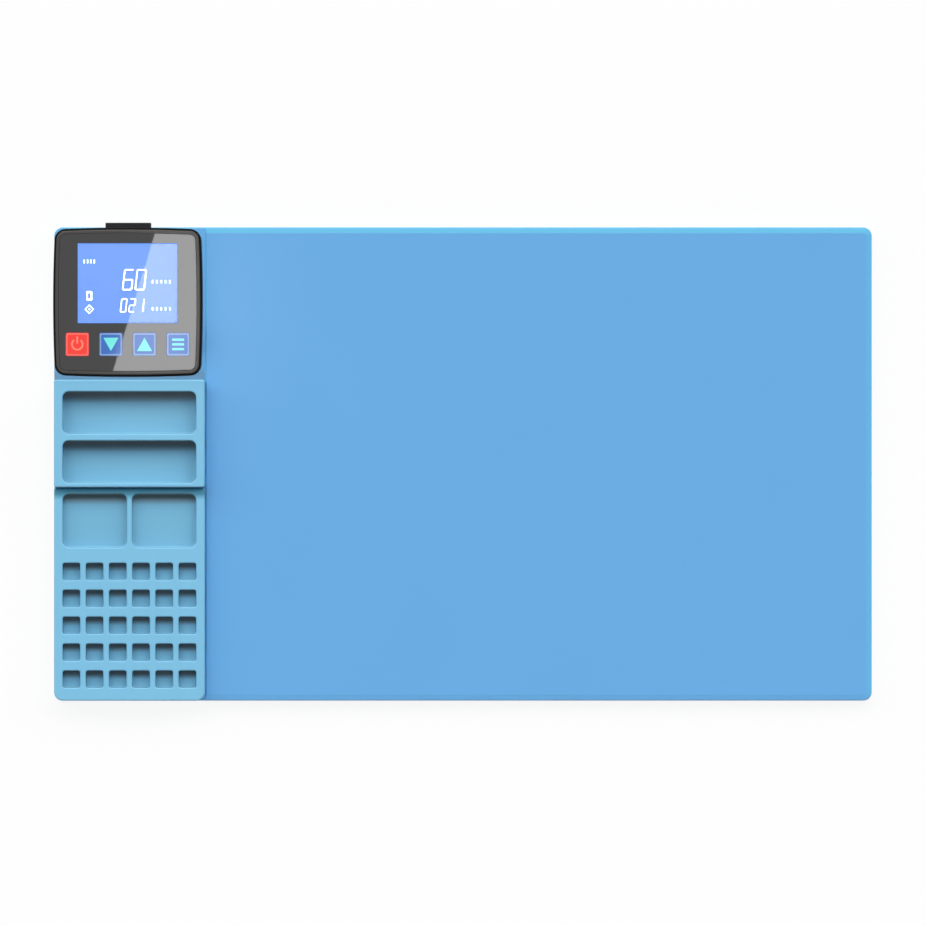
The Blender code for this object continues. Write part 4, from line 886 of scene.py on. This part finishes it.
screw_tray, low, high, tray_x = tray_block(
    "screw_tray_moulding", "screw_tray", (MAT_CORNER, TRAY_CORNER, TRAY_CORNER, MAT_CORNER)
)
square_width = (pocket_width - SQUARE_RIB) / 2
square_cutter = pocket_cutter("square_cutter", square_width, SQUARE_LENGTH, SQUARE_CORNER,
                              low.z + TRAY_FLOOR, high.z)
square_y = high.y - SQUARE_BACK_WALL - SQUARE_LENGTH / 2
run_tree(screw_tray, pocket_tree, cutter=square_cutter, columns=2, rows=1,
         column_pitch=square_width + SQUARE_RIB, row_pitch=0.0, middle=(tray_x, square_y, 0),
         finish=silicone)
cell_width = (pocket_width - (CELL_COLUMNS - 1) * CELL_RIB) / CELL_COLUMNS
cell_cutter = pocket_cutter("cell_cutter", cell_width, CELL_LENGTH, CELL_CORNER,
                            low.z + TRAY_FLOOR, high.z)
cells_y = (square_y - SQUARE_LENGTH / 2 - CELL_BACK_WALL - CELL_LENGTH / 2
           - (CELL_ROWS - 1) * CELL_ROW_PITCH / 2)
run_tree(screw_tray, pocket_tree, cutter=cell_cutter, columns=CELL_COLUMNS, rows=CELL_ROWS,
         column_pitch=cell_width + CELL_RIB, row_pitch=CELL_ROW_PITCH, middle=(tray_x, cells_y, 0),
         finish=silicone)
settle(screw_tray, tools=(square_cutter, cell_cutter))
mark_wall_shade(screw_tray, low, high)
belongs(screw_tray, "pad", "tray_silicone", "screw_tray")

# %% [markdown]
# ### Shade in the pockets
# Little light reaches the floors, and least of all under each pocket's back wall. A factor on the
# base colour dulls all floors, and a second one is full at the back walls and fades towards the front.

# %% Shade the pockets' floors
FLOOR_SHADE = (0.86, 0.90, 0.90, 1)
BACK_SHADE = (0.72, 0.40, 0.33, 1)
BACK_FULL = 0.0020
BACK_END = 0.0052
CELL_SHARE = 0.75

back_walls = [(pocket_y + TOOL_PITCH * side + TOOL_POCKET / 2, 1.0) for side in (0.5, -0.5)]
back_walls.append((square_y + SQUARE_LENGTH / 2, 1.0))
for row in range(CELL_ROWS):
    row_y = cells_y + (row - (CELL_ROWS - 1) / 2) * CELL_ROW_PITCH
    back_walls.append((row_y + CELL_LENGTH / 2, CELL_SHARE))

tree = silicone.node_tree
axes = object_axes(tree)
floor_mask = arithmetic(tree, "LESS_THAN", axes["Z"], tray_low.z + TRAY_FLOOR + FLOOR_FILLET)
tint_where(tree, floor_mask, FLOOR_SHADE, "MULTIPLY")
for wall_y, share in back_walls:
    near_wall = ranged(tree, axes["Y"], wall_y - BACK_END * share, wall_y - BACK_FULL * share)
    before_wall = arithmetic(tree, "LESS_THAN", axes["Y"], wall_y + MOUTH_EDGE)
    tint_where(tree, product(tree, near_wall, before_wall, floor_mask), BACK_SHADE, "MULTIPLY")
print("shade under", len(back_walls), "rows of back walls")

# %% [markdown]
# ## The controller's outline
# Seen from above the box isn't a true square: its sides bow out by 0.6 mm between tight corners, so
# that the moulding looks straight and stays stiff. One outline with an inset serves the cover, its
# rim and the panel that lies in it.

# %% Draw the bowed outline
BOX_BOW = 0.0006
BOX_CORNER = 0.0053
WALL = 0.0020
FACE = 0.0016
LIP = 0.0012
LIP_THICKNESS = 0.0008

cover_low, cover_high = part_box("housing_cover")
panel_low, panel_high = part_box("front_panel")
box_x, box_y = middle_of(cover_low, cover_high)
side_run = (cover_high.x - cover_low.x) / 2 - BOX_BOW - BOX_CORNER


def bowed_outline(inset, side_steps=14, corner_steps=8):
    """The controller's outline, drawn in by inset, anticlockwise from its right side."""
    radius = BOX_CORNER - inset
    side = []
    for step in range(1, side_steps):
        along = side_run * (2 * step / side_steps - 1)
        side.append((side_run + radius + BOX_BOW * (1 - (along / side_run) ** 2), along))
    for step in range(corner_steps + 1):
        angle = QUARTER * step / corner_steps
        side.append((side_run + radius * math.cos(angle), side_run + radius * math.sin(angle)))
    points = []
    for quarter in range(4):
        points += [(box_x + x, box_y + y) for x, y in side]
        side = [(-y, x) for x, y in side]
    return points


def grown(node, margin):
    """The plan of a node's box with a margin round it: width, depth and middle."""
    low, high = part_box(node)
    return high.x - low.x + 2 * margin, high.y - low.y + 2 * margin, middle_of(low, high)


def opening(node, margin, radius):
    width, depth, middle = grown(node, margin)
    return rounded_outline(width, depth, radius, middle, steps=3)


def fused(name, *parts):
    """One object from several closed ones, which are removed."""
    shape = bmesh.new()
    for part in parts:
        shape.from_mesh(part.data)
    mesh = mesh_of(name, shape)
    for material in parts[0].data.materials:
        mesh.materials.append(material)
    for part in parts:
        bpy.data.objects.remove(part, do_unlink=True)
    return placed(name, mesh)


print("controller side", round(cover_high.x - cover_low.x, 4))

# %% [markdown]
# ## The cover
# The upper shell carries a rim that rolls from the side wall into a narrow flat, and the panel lies
# inside that rim. Its lower edge has the groove that the base shell's lip enters, and four bosses
# take the clamp screws from below. Rings draw the shell in one go, from inside the wall, round the
# rim, to the bed of the panel. The rim has two bands, each a ring of its own: a matt black seal,
# which shows as the dark line round the box, and a satin grey trim that closes on the panel.

# %% Mould the cover
RIM_WIDTH = 0.0016
RIM_DROP = 0.0018
SHELL_END = 0.00002
RIM_START = 0.00100
RIM_THICKNESS = 0.0006
RIM_OVERHANG = 0.00004
PANEL_INSET = 0.0024
BOSS_RADIUS = 0.0033
BOSS_SET_BACK = 0.0010
KEY_FLANGE = 0.0006
KEY_CLEARANCE = 0.0003
KEY_HOLE = KEY_FLANGE + KEY_CLEARANCE / 2
HOLE_CORNER = 0.0007
HOLDER_CORNER = 0.0003
FOOT_EDGE = 0.0002
key_nodes = ["power_key", "down_key", "up_key", "mode_key"]

face_top = panel_low.z - GAP
face_bottom = face_top - FACE
groove_top = cover_low.z + LIP
groove = WALL - LIP_THICKNESS - GAP
cover_rings = [
    at(bowed_outline(WALL), face_bottom),
    at(bowed_outline(WALL), groove_top),
    at(bowed_outline(groove), groove_top),
    at(bowed_outline(groove), cover_low.z),
    at(bowed_outline(FOOT_EDGE), cover_low.z),
    at(bowed_outline(0), cover_low.z + FOOT_EDGE),
]
shell_end = math.acos(1 - SHELL_END / RIM_WIDTH)
rim_start = math.acos(1 - RIM_START / RIM_WIDTH)


def rim_rings(first, last, steps):
    """Rings over a part of the rim's quarter turn, between two angles."""
    angles = [first + (last - first) * step / steps for step in range(steps + 1)]
    return [at(bowed_outline(RIM_WIDTH * (1 - math.cos(angle))),
               panel_high.z - RIM_DROP * (1 - math.sin(angle))) for angle in angles]


def front_cutter(name, node, radius, bottom, top):
    """Cutters for the opening round a node and for the four keys, through a sheet."""
    outlines = [opening(node, GAP, radius)]
    outlines += [opening(key, -KEY_HOLE, HOLE_CORNER) for key in key_nodes]
    return loft(name, [prism(outline, bottom - CUT_MARGIN, top + CUT_MARGIN) for outline in outlines])


cover_rings += rim_rings(0, shell_end, steps=4)
bed_inset = PANEL_INSET - GAP
cover_rings += [
    at(bowed_outline(bed_inset), cover_rings[-1][0][2]),
    at(bowed_outline(bed_inset), face_top),
]
shell = loft("shell", [cover_rings], finishes["black_plastic"])
holes = front_cutter("face_cut", "lcd_holder", HOLDER_CORNER, face_bottom, face_top)
cut_from(shell, holes)
settle(shell, tools=(holes,))
bosses = loft("bosses", [
    [at(round_outline(BOSS_RADIUS, middle), groove_top + BOSS_SET_BACK),
     at(round_outline(BOSS_RADIUS, middle), face_bottom + FACE / 4),
     at(round_outline(SHANK_RADIUS + GAP, middle), face_bottom + FACE / 4),
     at(round_outline(SHANK_RADIUS + GAP, middle), groove_top + BOSS_SET_BACK)]
    for middle in screw_middles
], finishes["black_plastic"], hollow=True)
cover = fused("cover_shell", shell, bosses)
settle(cover)
belongs(cover, "pad", "black_plastic", "housing_cover")

rim_grey = finish("rim_grey", (0.044, 0.040, 0.037), 0.34, shade=0.06, patch=0.006, relief=0.00001,
                  Specular_IOR_Level=0.35)
seal_black = finish("seal_black", (0.003, 0.003, 0.003), 0.75, shade=0.10, patch=0.006,
                    relief=0.00001, Specular_IOR_Level=0.06)
rim_end = PANEL_INSET - RIM_OVERHANG
shell_top = cover_rings[-2][0][2]
seal = loft("rim_seal", [
    [at(bowed_outline(bed_inset), shell_top)] + rim_rings(shell_end, rim_start, steps=6)
    + [at(bowed_outline(bed_inset), panel_high.z - RIM_THICKNESS)]
], seal_black, hollow=True)
belongs(settle(seal), "pad", "black_plastic")
trim = loft("rim_trim", [
    [at(bowed_outline(RIM_START), panel_high.z - RIM_THICKNESS)] + rim_rings(rim_start, QUARTER, steps=4)
    + [at(bowed_outline(rim_end), panel_high.z), at(bowed_outline(rim_end), panel_high.z - RIM_THICKNESS)]
], rim_grey, hollow=True)
belongs(settle(trim), "pad", "black_plastic")

# %% [markdown]
# ## Pieces with eased edges
# The base shell and the inlet already have their true shapes in the solids, but their edges are
# dead sharp, and no moulding has such edges. A copy of the solid is joined up from its loose
# triangles, its flat faces are merged, and a narrow bevel eases each edge.

# %% Ease the base shell and the inlet
JOIN_DISTANCE = 0.000002
FLAT_ANGLE = 0.5
EASE = 0.00015
EASE_ANGLE = 40


def eased(name, node):
    """A copy of a black plastic solid with its edges eased."""
    shape = bmesh.new()
    shape.from_mesh(frame["nodes"][node].data)
    bmesh.ops.remove_doubles(shape, verts=shape.verts, dist=JOIN_DISTANCE)
    bmesh.ops.dissolve_limit(shape, angle_limit=math.radians(FLAT_ANGLE), verts=shape.verts,
                             edges=shape.edges)
    mesh = mesh_of(name, shape)
    mesh.materials.clear()
    mesh.materials.append(finishes["black_plastic"])
    piece = placed(name, mesh)
    bevel = piece.modifiers.new("eased_edges", "BEVEL")
    bevel.width = EASE
    bevel.segments = 2
    bevel.limit_method = "ANGLE"
    bevel.angle_limit = math.radians(EASE_ANGLE)
    return settle(piece)


for name, node in (("base_shell", "housing_base"), ("inlet_socket", "mains_inlet")):
    belongs(eased(name, node), "pad", "black_plastic", node)

# %% [markdown]
# ## The panel and its window
# The front panel is a sheet of dark acrylic let into the rim, with a clear window over the display.
# Its edges have a fine polished chamfer, which draws the thin line seen round it.

# %% Cut the panel and the window
CHAMFER = 0.00015
LENS_CHAMFER = 0.00003
WINDOW_CORNER = 0.0004


def chamfered(outline_of, bottom, top, chamfer=CHAMFER):
    """Rings of a sheet with a fine chamfer round its top."""
    return [at(outline_of(0), bottom), at(outline_of(0), top - chamfer), at(outline_of(chamfer), top)]


panel = loft("panel_sheet", [chamfered(lambda inset: bowed_outline(PANEL_INSET + inset),
                                       panel_low.z, panel_high.z)], finishes["panel_gloss"])
holes = front_cutter("panel_cut", "display_window", WINDOW_CORNER, panel_low.z, panel_high.z)
cut_from(panel, holes)
settle(panel, tools=(holes,))
belongs(panel, "pad", "panel_gloss", "front_panel")

window_low, window_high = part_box("display_window")
lens = loft("window_lens", [chamfered(lambda inset: opening("display_window", -inset, WINDOW_CORNER),
                                      window_low.z, window_high.z, LENS_CHAMFER)],
            finishes["clear_lens"])
settle(lens)
belongs(lens, "pad", "clear_lens", "display_window")

# %% [markdown]
# ## The keys
# Each key is a square cap with a flange below the face, which keeps it in, and a plunger that
# reaches into its switch. The caps carry a frame in a paler shade and a plain sign: a power ring, two
# arrows and three bars. Frame and sign are thin inlays that stand a hair out of the cap, and they
# press down with their key.

# %% Mould the caps
KEY_DROP = 0.0046
FLANGE_THICKNESS = 0.0010
KEY_CORNER = 0.0007
KEY_EDGE = 0.0003
PLUNGER_RADIUS = 0.0016
INLAY = 0.00003

red_frame = finish("red_frame", (0.98, 0.150, 0.120), 0.18, gloss=0.02)
red_sign = finish("red_sign", (0.98, 0.260, 0.160), 0.18, gloss=0.02)
pale_frame = finish("pale_frame", (0.200, 0.340, 0.620), 0.18, gloss=0.02)
cyan_sign = finish("cyan_sign", (0.160, 0.800, 0.760), 0.18, gloss=0.02)


def key_cap(name, node, material):
    """The moulded cap with its flange and plunger."""
    low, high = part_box(node)
    top = high.z - INLAY
    flange_bottom = high.z - KEY_DROP
    flange_top = flange_bottom + FLANGE_THICKNESS

    def cap(inset):
        return opening(node, -KEY_FLANGE - KEY_CLEARANCE - inset, KEY_CORNER - inset)

    flange = opening(node, 0, KEY_CORNER)
    rings = [at(flange, flange_bottom), at(flange, flange_top)]
    body = loft(name, [rings + rounded_top(cap, flange_top, top, KEY_EDGE, steps=4)], material)
    middle = grown(node, 0)[2]
    plunger = loft("plunger", [prism(round_outline(PLUNGER_RADIUS, middle, steps=24), low.z,
                                     flange_bottom + FLANGE_THICKNESS / 4)])
    return settle(fused(name, body, plunger))


for node in key_nodes:
    slot_name = slot_of[node]
    belongs(key_cap(node + "_cap", node, finishes[slot_name]), node + "_body", slot_name, node)

# %% [markdown]
# ### Frames and signs
# A sign is an outline with a thickness. The ring of the power sign is a strip along most of a
# circle, the bars are rounded rectangles and the arrows are triangles.

# %% Inlay the signs
FRAME_OUTER = 0.00006
FRAME_WIDTH = 0.00070
SIGN_DEPTH = 0.00020
RING_RADIUS = 0.00245
STROKE = 0.00080
RING_GAP = 38
ARROW_WIDTH = 0.0070
ARROW_HEIGHT = 0.0062
BAR_WIDTH = 0.0056
BAR_HEIGHT = 0.0011
BAR_PITCH = 0.0022


def strip_on_circle(radius, width, start, end, middle, steps=36):
    """The outline of a strip along an arc, in degrees."""
    angles = [math.radians(start + (end - start) * step / steps) for step in range(steps + 1)]
    outer = [(radius + width / 2, angle) for angle in angles]
    inner = [(radius - width / 2, angle) for angle in reversed(angles)]
    return [(middle[0] + reach * math.cos(angle), middle[1] + reach * math.sin(angle))
            for reach, angle in outer + inner]


def power_sign(middle):
    up = (middle[0], middle[1] + RING_RADIUS - STROKE / 2)
    return [strip_on_circle(RING_RADIUS, STROKE, 90 + RING_GAP, 450 - RING_GAP, middle),
            rounded_outline(STROKE, 2 * RING_RADIUS - 2 * STROKE, STROKE / 3, up)]


def arrow_sign(middle, way):
    x, y = middle
    base = y - way * ARROW_HEIGHT / 2
    return [[(x - ARROW_WIDTH / 2, base), (x + ARROW_WIDTH / 2, base), (x, base + way * ARROW_HEIGHT)]]


def bars_sign(middle):
    return [rounded_outline(BAR_WIDTH, BAR_HEIGHT, BAR_HEIGHT / 3, (middle[0], middle[1] + row * BAR_PITCH))
            for row in (-1, 0, 1)]


signs = {
    "power_key": (power_sign, red_frame, red_sign),
    "down_key": (lambda middle: arrow_sign(middle, -1), pale_frame, cyan_sign),
    "up_key": (lambda middle: arrow_sign(middle, 1), pale_frame, cyan_sign),
    "mode_key": (bars_sign, pale_frame, cyan_sign),
}
for node, (draw, frame_finish, sign_finish) in signs.items():
    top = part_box(node)[1].z
    edge = KEY_FLANGE + KEY_CLEARANCE + FRAME_OUTER
    outer = opening(node, -edge, KEY_CORNER - FRAME_OUTER)
    inner = opening(node, -edge - FRAME_WIDTH, KEY_CORNER - FRAME_OUTER)
    border = loft(node + "_frame", [[at(outer, top - SIGN_DEPTH), at(outer, top), at(inner, top),
                                     at(inner, top - SIGN_DEPTH)]], frame_finish, hollow=True)
    belongs(settle(border), node + "_body", slot_of[node])
    sign = loft(node + "_sign", [prism(outline, top - SIGN_DEPTH, top)
                                 for outline in draw(grown(node, 0)[2])], sign_finish)
    belongs(settle(sign), node + "_body", slot_of[node])

# %% [markdown]
# ## What the display shows
# The display is lit from behind and its signs are the clear parts of the glass, so they glow white.
# The two readings are seven-bar numbers. A tree sets one bar on each lit place, turned and
# stretched as the place says, and leans the whole number to the right.

# %% Build the tree that sets pieces on points
set_tree, given, made = new_tree("set_on_points", (
    ("Piece", "Object"), ("Lean", "Float"), ("Level", "Float"), ("Finish", "Material"),
))
source = set_tree.nodes.new("GeometryNodeObjectInfo")
source.inputs["As Instance"].default_value = True
turn = set_tree.nodes.new("GeometryNodeInputNamedAttribute")
turn.data_type = "FLOAT"
turn.inputs["Name"].default_value = "turn"
about = set_tree.nodes.new("ShaderNodeCombineXYZ")
stretch = set_tree.nodes.new("GeometryNodeInputNamedAttribute")
stretch.data_type = "FLOAT_VECTOR"
stretch.inputs["Name"].default_value = "stretch"
set_out = set_tree.nodes.new("GeometryNodeInstanceOnPoints")
real = set_tree.nodes.new("GeometryNodeRealizeInstances")
where = set_tree.nodes.new("GeometryNodeInputPosition")
parts = set_tree.nodes.new("ShaderNodeSeparateXYZ")
shift = set_tree.nodes.new("ShaderNodeCombineXYZ")
leant = set_tree.nodes.new("GeometryNodeSetPosition")
join_up(
    set_tree,
    (given.outputs["Piece"], source.inputs["Object"]),
    (given.outputs["Geometry"], set_out.inputs["Points"]),
    (source.outputs["Geometry"], set_out.inputs["Instance"]),
    (turn.outputs["Attribute"], about.inputs["Z"]),
    (about.outputs["Vector"], set_out.inputs["Rotation"]),
    (stretch.outputs["Attribute"], set_out.inputs["Scale"]),
    (set_out.outputs["Instances"], real.inputs["Geometry"]),
    (real.outputs["Geometry"], leant.inputs["Geometry"]),
    (where.outputs["Position"], parts.inputs["Vector"]),
    (arithmetic(set_tree, "MULTIPLY",
                arithmetic(set_tree, "SUBTRACT", parts.outputs["Y"], given.outputs["Level"]),
                given.outputs["Lean"]), shift.inputs["X"]),
    (shift.outputs["Vector"], leant.inputs["Offset"]),
)
end_tree(set_tree, leant.outputs["Geometry"], given, made)


def set_pieces(name, piece, places, finish_used, lean=0.0, level=0.0):
    """One object with a copy of the piece at each place: a point, a turn and a stretch."""
    mesh = bpy.data.meshes.new(name)
    mesh.from_pydata([place[0] for place in places], [], [])
    turns = mesh.attributes.new("turn", "FLOAT", "POINT")
    turns.data.foreach_set("value", [place[1] for place in places])
    stretches = mesh.attributes.new("stretch", "FLOAT_VECTOR", "POINT")
    stretches.data.foreach_set("vector", [value for place in places for value in place[2]])
    made_piece = placed(name, mesh)
    run_tree(made_piece, set_tree, piece=piece, lean=lean, level=level, finish=finish_used)
    return settle(made_piece, tools=(piece,))


print("tree", set_tree.name, "with", len(set_tree.nodes), "nodes")

# %% [markdown]
# ### The readings
# Places are shares of the window's width and height, so that the readings stay in the window. The
# numbers are plain readings of a temperature and a time.

# %% Light the numbers
LIT_BARS = {"0": "abcdef", "1": "bc", "2": "abged", "6": "afgedc"}
LEAN = 0.12
MARK_LIFT = 0.00005
MARK_DEPTH = 0.00010
UPRIGHT_BARS = {"b": (1, 1), "c": (1, -1), "e": (-1, -1), "f": (-1, 1)}
LEVEL_BARS = {"a": 1, "g": 0, "d": -1}
# Each reading has its digits, their places across and up, and their width, height and stroke.
READINGS = (
    ("upper_reading", "60", (0.5045, 0.632), 0.545, 0.0047, 0.0098, 0.00060),
    ("lower_reading", "021", (0.459, 0.546, 0.633), 0.218, 0.0029, 0.0065, 0.00050),
)

display_white = finish("display_white", (0.8, 0.8, 0.8), 0.3, Emission_Strength=1.0,
                       Emission_Color=(0.98, 0.99, 1.0, 1))
display_faint = finish("display_faint", (0.6, 0.7, 0.8), 0.3, Emission_Strength=1.0,
                       Emission_Color=(0.66, 0.78, 1.0, 1))
mark_level = display_high.z + MARK_LIFT


def in_window(across_share, up_share):
    return (window_low.x + across_share * (window_high.x - window_low.x),
            window_low.y + up_share * (window_high.y - window_low.y))


def bar_piece(name, width, length):
    """A bar one metre long with pointed ends, to be stretched to about the length given."""
    tip = width / 2 / length
    outline = [(-0.5, 0), (-0.5 + tip, -width / 2), (0.5 - tip, -width / 2), (0.5, 0),
               (0.5 - tip, width / 2), (-0.5 + tip, width / 2)]
    return loft(name, [prism(outline, 0, MARK_DEPTH)])


for name, digits, columns, row, width, height, stroke in READINGS:
    reach_x = (width - stroke) / 2
    reach_y = (height - stroke) / 2
    places = []
    for digit, column in zip(digits, columns):
        x, y = in_window(column, row)
        for bar in LIT_BARS[digit]:
            if bar in LEVEL_BARS:
                point = (x, y + LEVEL_BARS[bar] * reach_y, mark_level)
                places.append((point, 0.0, (2 * reach_x, 1, 1)))
            else:
                side, half_up = UPRIGHT_BARS[bar]
                point = (x + side * reach_x, y + half_up * reach_y / 2, mark_level)
                places.append((point, QUARTER, (reach_y, 1, 1)))
    reading = set_pieces(name, bar_piece("bar", stroke, 2 * reach_x), places, display_white,
                         LEAN, in_window(0, row)[1])
    belongs(reading, "pad", "display_blue")

# %% [markdown]
# ### The small signs
# Beside the numbers stand two level rows and at the left a row, a device outline and a diamond, all
# plain pictograms.

# %% Light the small signs
# Each row has the place of its first tick, a number of ticks, their pitch, width and height.
LEVEL_ROWS = (("mode_level", (0.060, 0.777), 4, 0.00155, 0.00065, 0.0018),
              ("heat_level", (0.752, 0.519), 5, 0.00200, 0.00065, 0.0015),
              ("time_level", (0.752, 0.174), 5, 0.00200, 0.00065, 0.0015))
for name, start, count, pitch, width, height in LEVEL_ROWS:
    x, y = in_window(*start)
    tick = loft("tick", [prism(rounded_outline(width, height, width / 3), 0, MARK_DEPTH)])
    places = [((x + pitch * index, y, mark_level), 0.0, (1, 1, 1)) for index in range(count)]
    belongs(set_pieces(name, tick, places, display_faint), "pad", "display_blue")


def ring_plate(name, outer, inner, material):
    return loft(name, [[at(outer, mark_level), at(outer, mark_level + MARK_DEPTH),
                        at(inner, mark_level + MARK_DEPTH), at(inner, mark_level)]],
                material, hollow=True)


DEVICE_PLACE = (0.111, 0.340)
DEVICE_OUTER = (0.0027, 0.0043, 0.0005)
DEVICE_INNER = (0.0013, 0.0026, 0.0003)
DIAMOND_PLACE = (0.111, 0.169)
DIAMOND_OUTER = 0.0022
DIAMOND_INNER = 0.0016
DIAMOND_CORE = 0.0006


def diamond(reach, middle):
    x, y = middle
    return [(x + reach, y), (x, y + reach), (x - reach, y), (x, y - reach)]


device = in_window(*DEVICE_PLACE)
device_sign = ring_plate("device_sign", rounded_outline(*DEVICE_OUTER, device),
                         rounded_outline(*DEVICE_INNER, device), display_white)
belongs(settle(device_sign), "pad", "display_blue")
spot = in_window(*DIAMOND_PLACE)
edge = ring_plate("diamond_edge", diamond(DIAMOND_OUTER, spot), diamond(DIAMOND_INNER, spot),
                  display_faint)
core = loft("diamond_core", [prism(diamond(DIAMOND_CORE, spot), mark_level, mark_level + MARK_DEPTH)])
belongs(settle(fused("diamond_sign", edge, core)), "pad", "display_blue")

# %% [markdown]
# ## The clamp screws
# Four countersunk screws come up through the clamp plate and the mat into the cover's bosses. Each
# has a cross recess in its head and a thread, drawn here as ridges. One screw is made and the tree
# sets it on four points.

# %% Set the clamp screws
HEAD_RADIUS = 0.0026
HEAD_HEIGHT = 0.0010
HEAD_EDGE = 0.0001
THREAD_PITCH = 0.0007
THREAD_DEPTH = 0.00022
RECESS_WIDTH = 0.0006
RECESS_LENGTH = 0.0026
RECESS_DEPTH = 0.0007

screw_low, screw_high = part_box(screw_nodes[0])
length = screw_high.z - screw_low.z
profile = [(HEAD_RADIUS - HEAD_EDGE, 0), (HEAD_RADIUS, HEAD_EDGE), (SHANK_RADIUS, HEAD_HEIGHT)]
turns_of_thread = int((length - 2 * HEAD_HEIGHT) / THREAD_PITCH)
for ridge in range(turns_of_thread):
    level = HEAD_HEIGHT + THREAD_PITCH * (ridge + 0.5)
    profile += [(SHANK_RADIUS - THREAD_DEPTH, level), (SHANK_RADIUS, level + THREAD_PITCH / 2)]
profile += [(SHANK_RADIUS - THREAD_DEPTH, length - HEAD_HEIGHT / 2), (SHANK_RADIUS / 2, length)]
screw = loft("one_screw", [[at(round_outline(radius, steps=20), level) for radius, level in profile]])
slots = [loft(f"recess_{number}", [prism(rounded_outline(width, depth, RECESS_WIDTH / 4),
                                         -CUT_MARGIN, RECESS_DEPTH)])
         for number, (width, depth) in enumerate(((RECESS_LENGTH, RECESS_WIDTH),
                                                  (RECESS_WIDTH, RECESS_LENGTH)))]
cut_from(screw, *slots)
settle(screw, tools=slots)
places = [((x, y, screw_low.z), QUARTER / 2 * index, (1, 1, 1))
          for index, (x, y) in enumerate(screw_middles)]
clamp_screws = set_pieces("clamp_screws", screw, places, finishes["steel"])
belongs(clamp_screws, "pad", "steel", *screw_nodes)

# %% [markdown]
# ## The reflection on the panel
# The panel shows a paler right half with a straight slanting edge: the reflection of a soft box.
# A lit card above the panel gives it. Only mirror rays see the card, so it lights nothing. It hangs
# high enough to leave the panel in a view from the side, and is spread out from the camera's axis by
# its height, so that seen from above its reflection still ends where the panel does.

# %% Hang the card
CARD_HEIGHT = 0.060
CARD_STRENGTH = 6.3
CARD_EDGE = ((-0.1426, 0.1075), (-0.1623, 0.0428))

outline = bowed_outline(PANEL_INSET + GAP)
(back_x, back_y), (front_x, front_y) = CARD_EDGE


def beyond_edge(point):
    """How far a point lies to the right of the card's slanting edge."""
    share_up = (point[1] - front_y) / (back_y - front_y)
    return point[0] - (front_x + (back_x - front_x) * share_up)


kept = []
for here, there in zip(outline, outline[1:] + outline[:1]):
    past_here = beyond_edge(here)
    past_there = beyond_edge(there)
    if past_here > 0:
        kept.append(here)
    if (past_here > 0) != (past_there > 0):
        along = past_here / (past_here - past_there)
        kept.append(tuple(start + (stop - start) * along for start, stop in zip(here, there)))
mesh = bpy.data.meshes.new("soft_box")
spread = 1 + CARD_HEIGHT / CAMERA_HEIGHT
mesh.from_pydata([(x * spread, PICTURE_MIDDLE_Y + (y - PICTURE_MIDDLE_Y) * spread,
                   panel_high.z + CARD_HEIGHT) for x, y in kept], [], [range(len(kept))])
lit = bpy.data.materials.new("soft_box")
lit.use_nodes = True
lit.node_tree.nodes.clear()
shine = lit.node_tree.nodes.new("ShaderNodeEmission")
shine.inputs["Strength"].default_value = CARD_STRENGTH
end = lit.node_tree.nodes.new("ShaderNodeOutputMaterial")
join_up(lit.node_tree, (shine.outputs[0], end.inputs["Surface"]))
mesh.materials.append(lit)
card = placed("soft_box", mesh)
card.visible_camera = False
card.visible_diffuse = False
card.visible_transmission = False
card.visible_shadow = False
card.visible_volume_scatter = False
print("card with", len(kept), "corners")

# %% [markdown]
# ## What throws a shadow
# In the photograph the tall controller throws no shadow over the tray in front of it, though the
# pockets are dark at their back walls. Shadow linking says which pieces block a lamp. Here the
# lamps are blocked by all but the floor, the card and the pieces in the controller's plan.

# %% Link the shadows
PLAN_MARGIN = 0.0050


def in_controller(piece):
    corners = [piece.matrix_world @ Vector(corner) for corner in piece.bound_box]
    middle = sum(corners, Vector()) / len(corners)
    return (cover_low.x - PLAN_MARGIN < middle.x < cover_high.x
            and cover_low.y < middle.y < cover_high.y + PLAN_MARGIN)


casters = bpy.data.collections.new("shadow_casters")
for piece in list(scene.objects):
    if piece.type == "MESH" and piece not in (floor, card) and not in_controller(piece):
        casters.objects.link(piece)
for name in LIGHTS:
    bpy.data.objects[name].light_linking.blocker_collection = casters

# %% [markdown]
# ## Finish

# %% Finish
import json
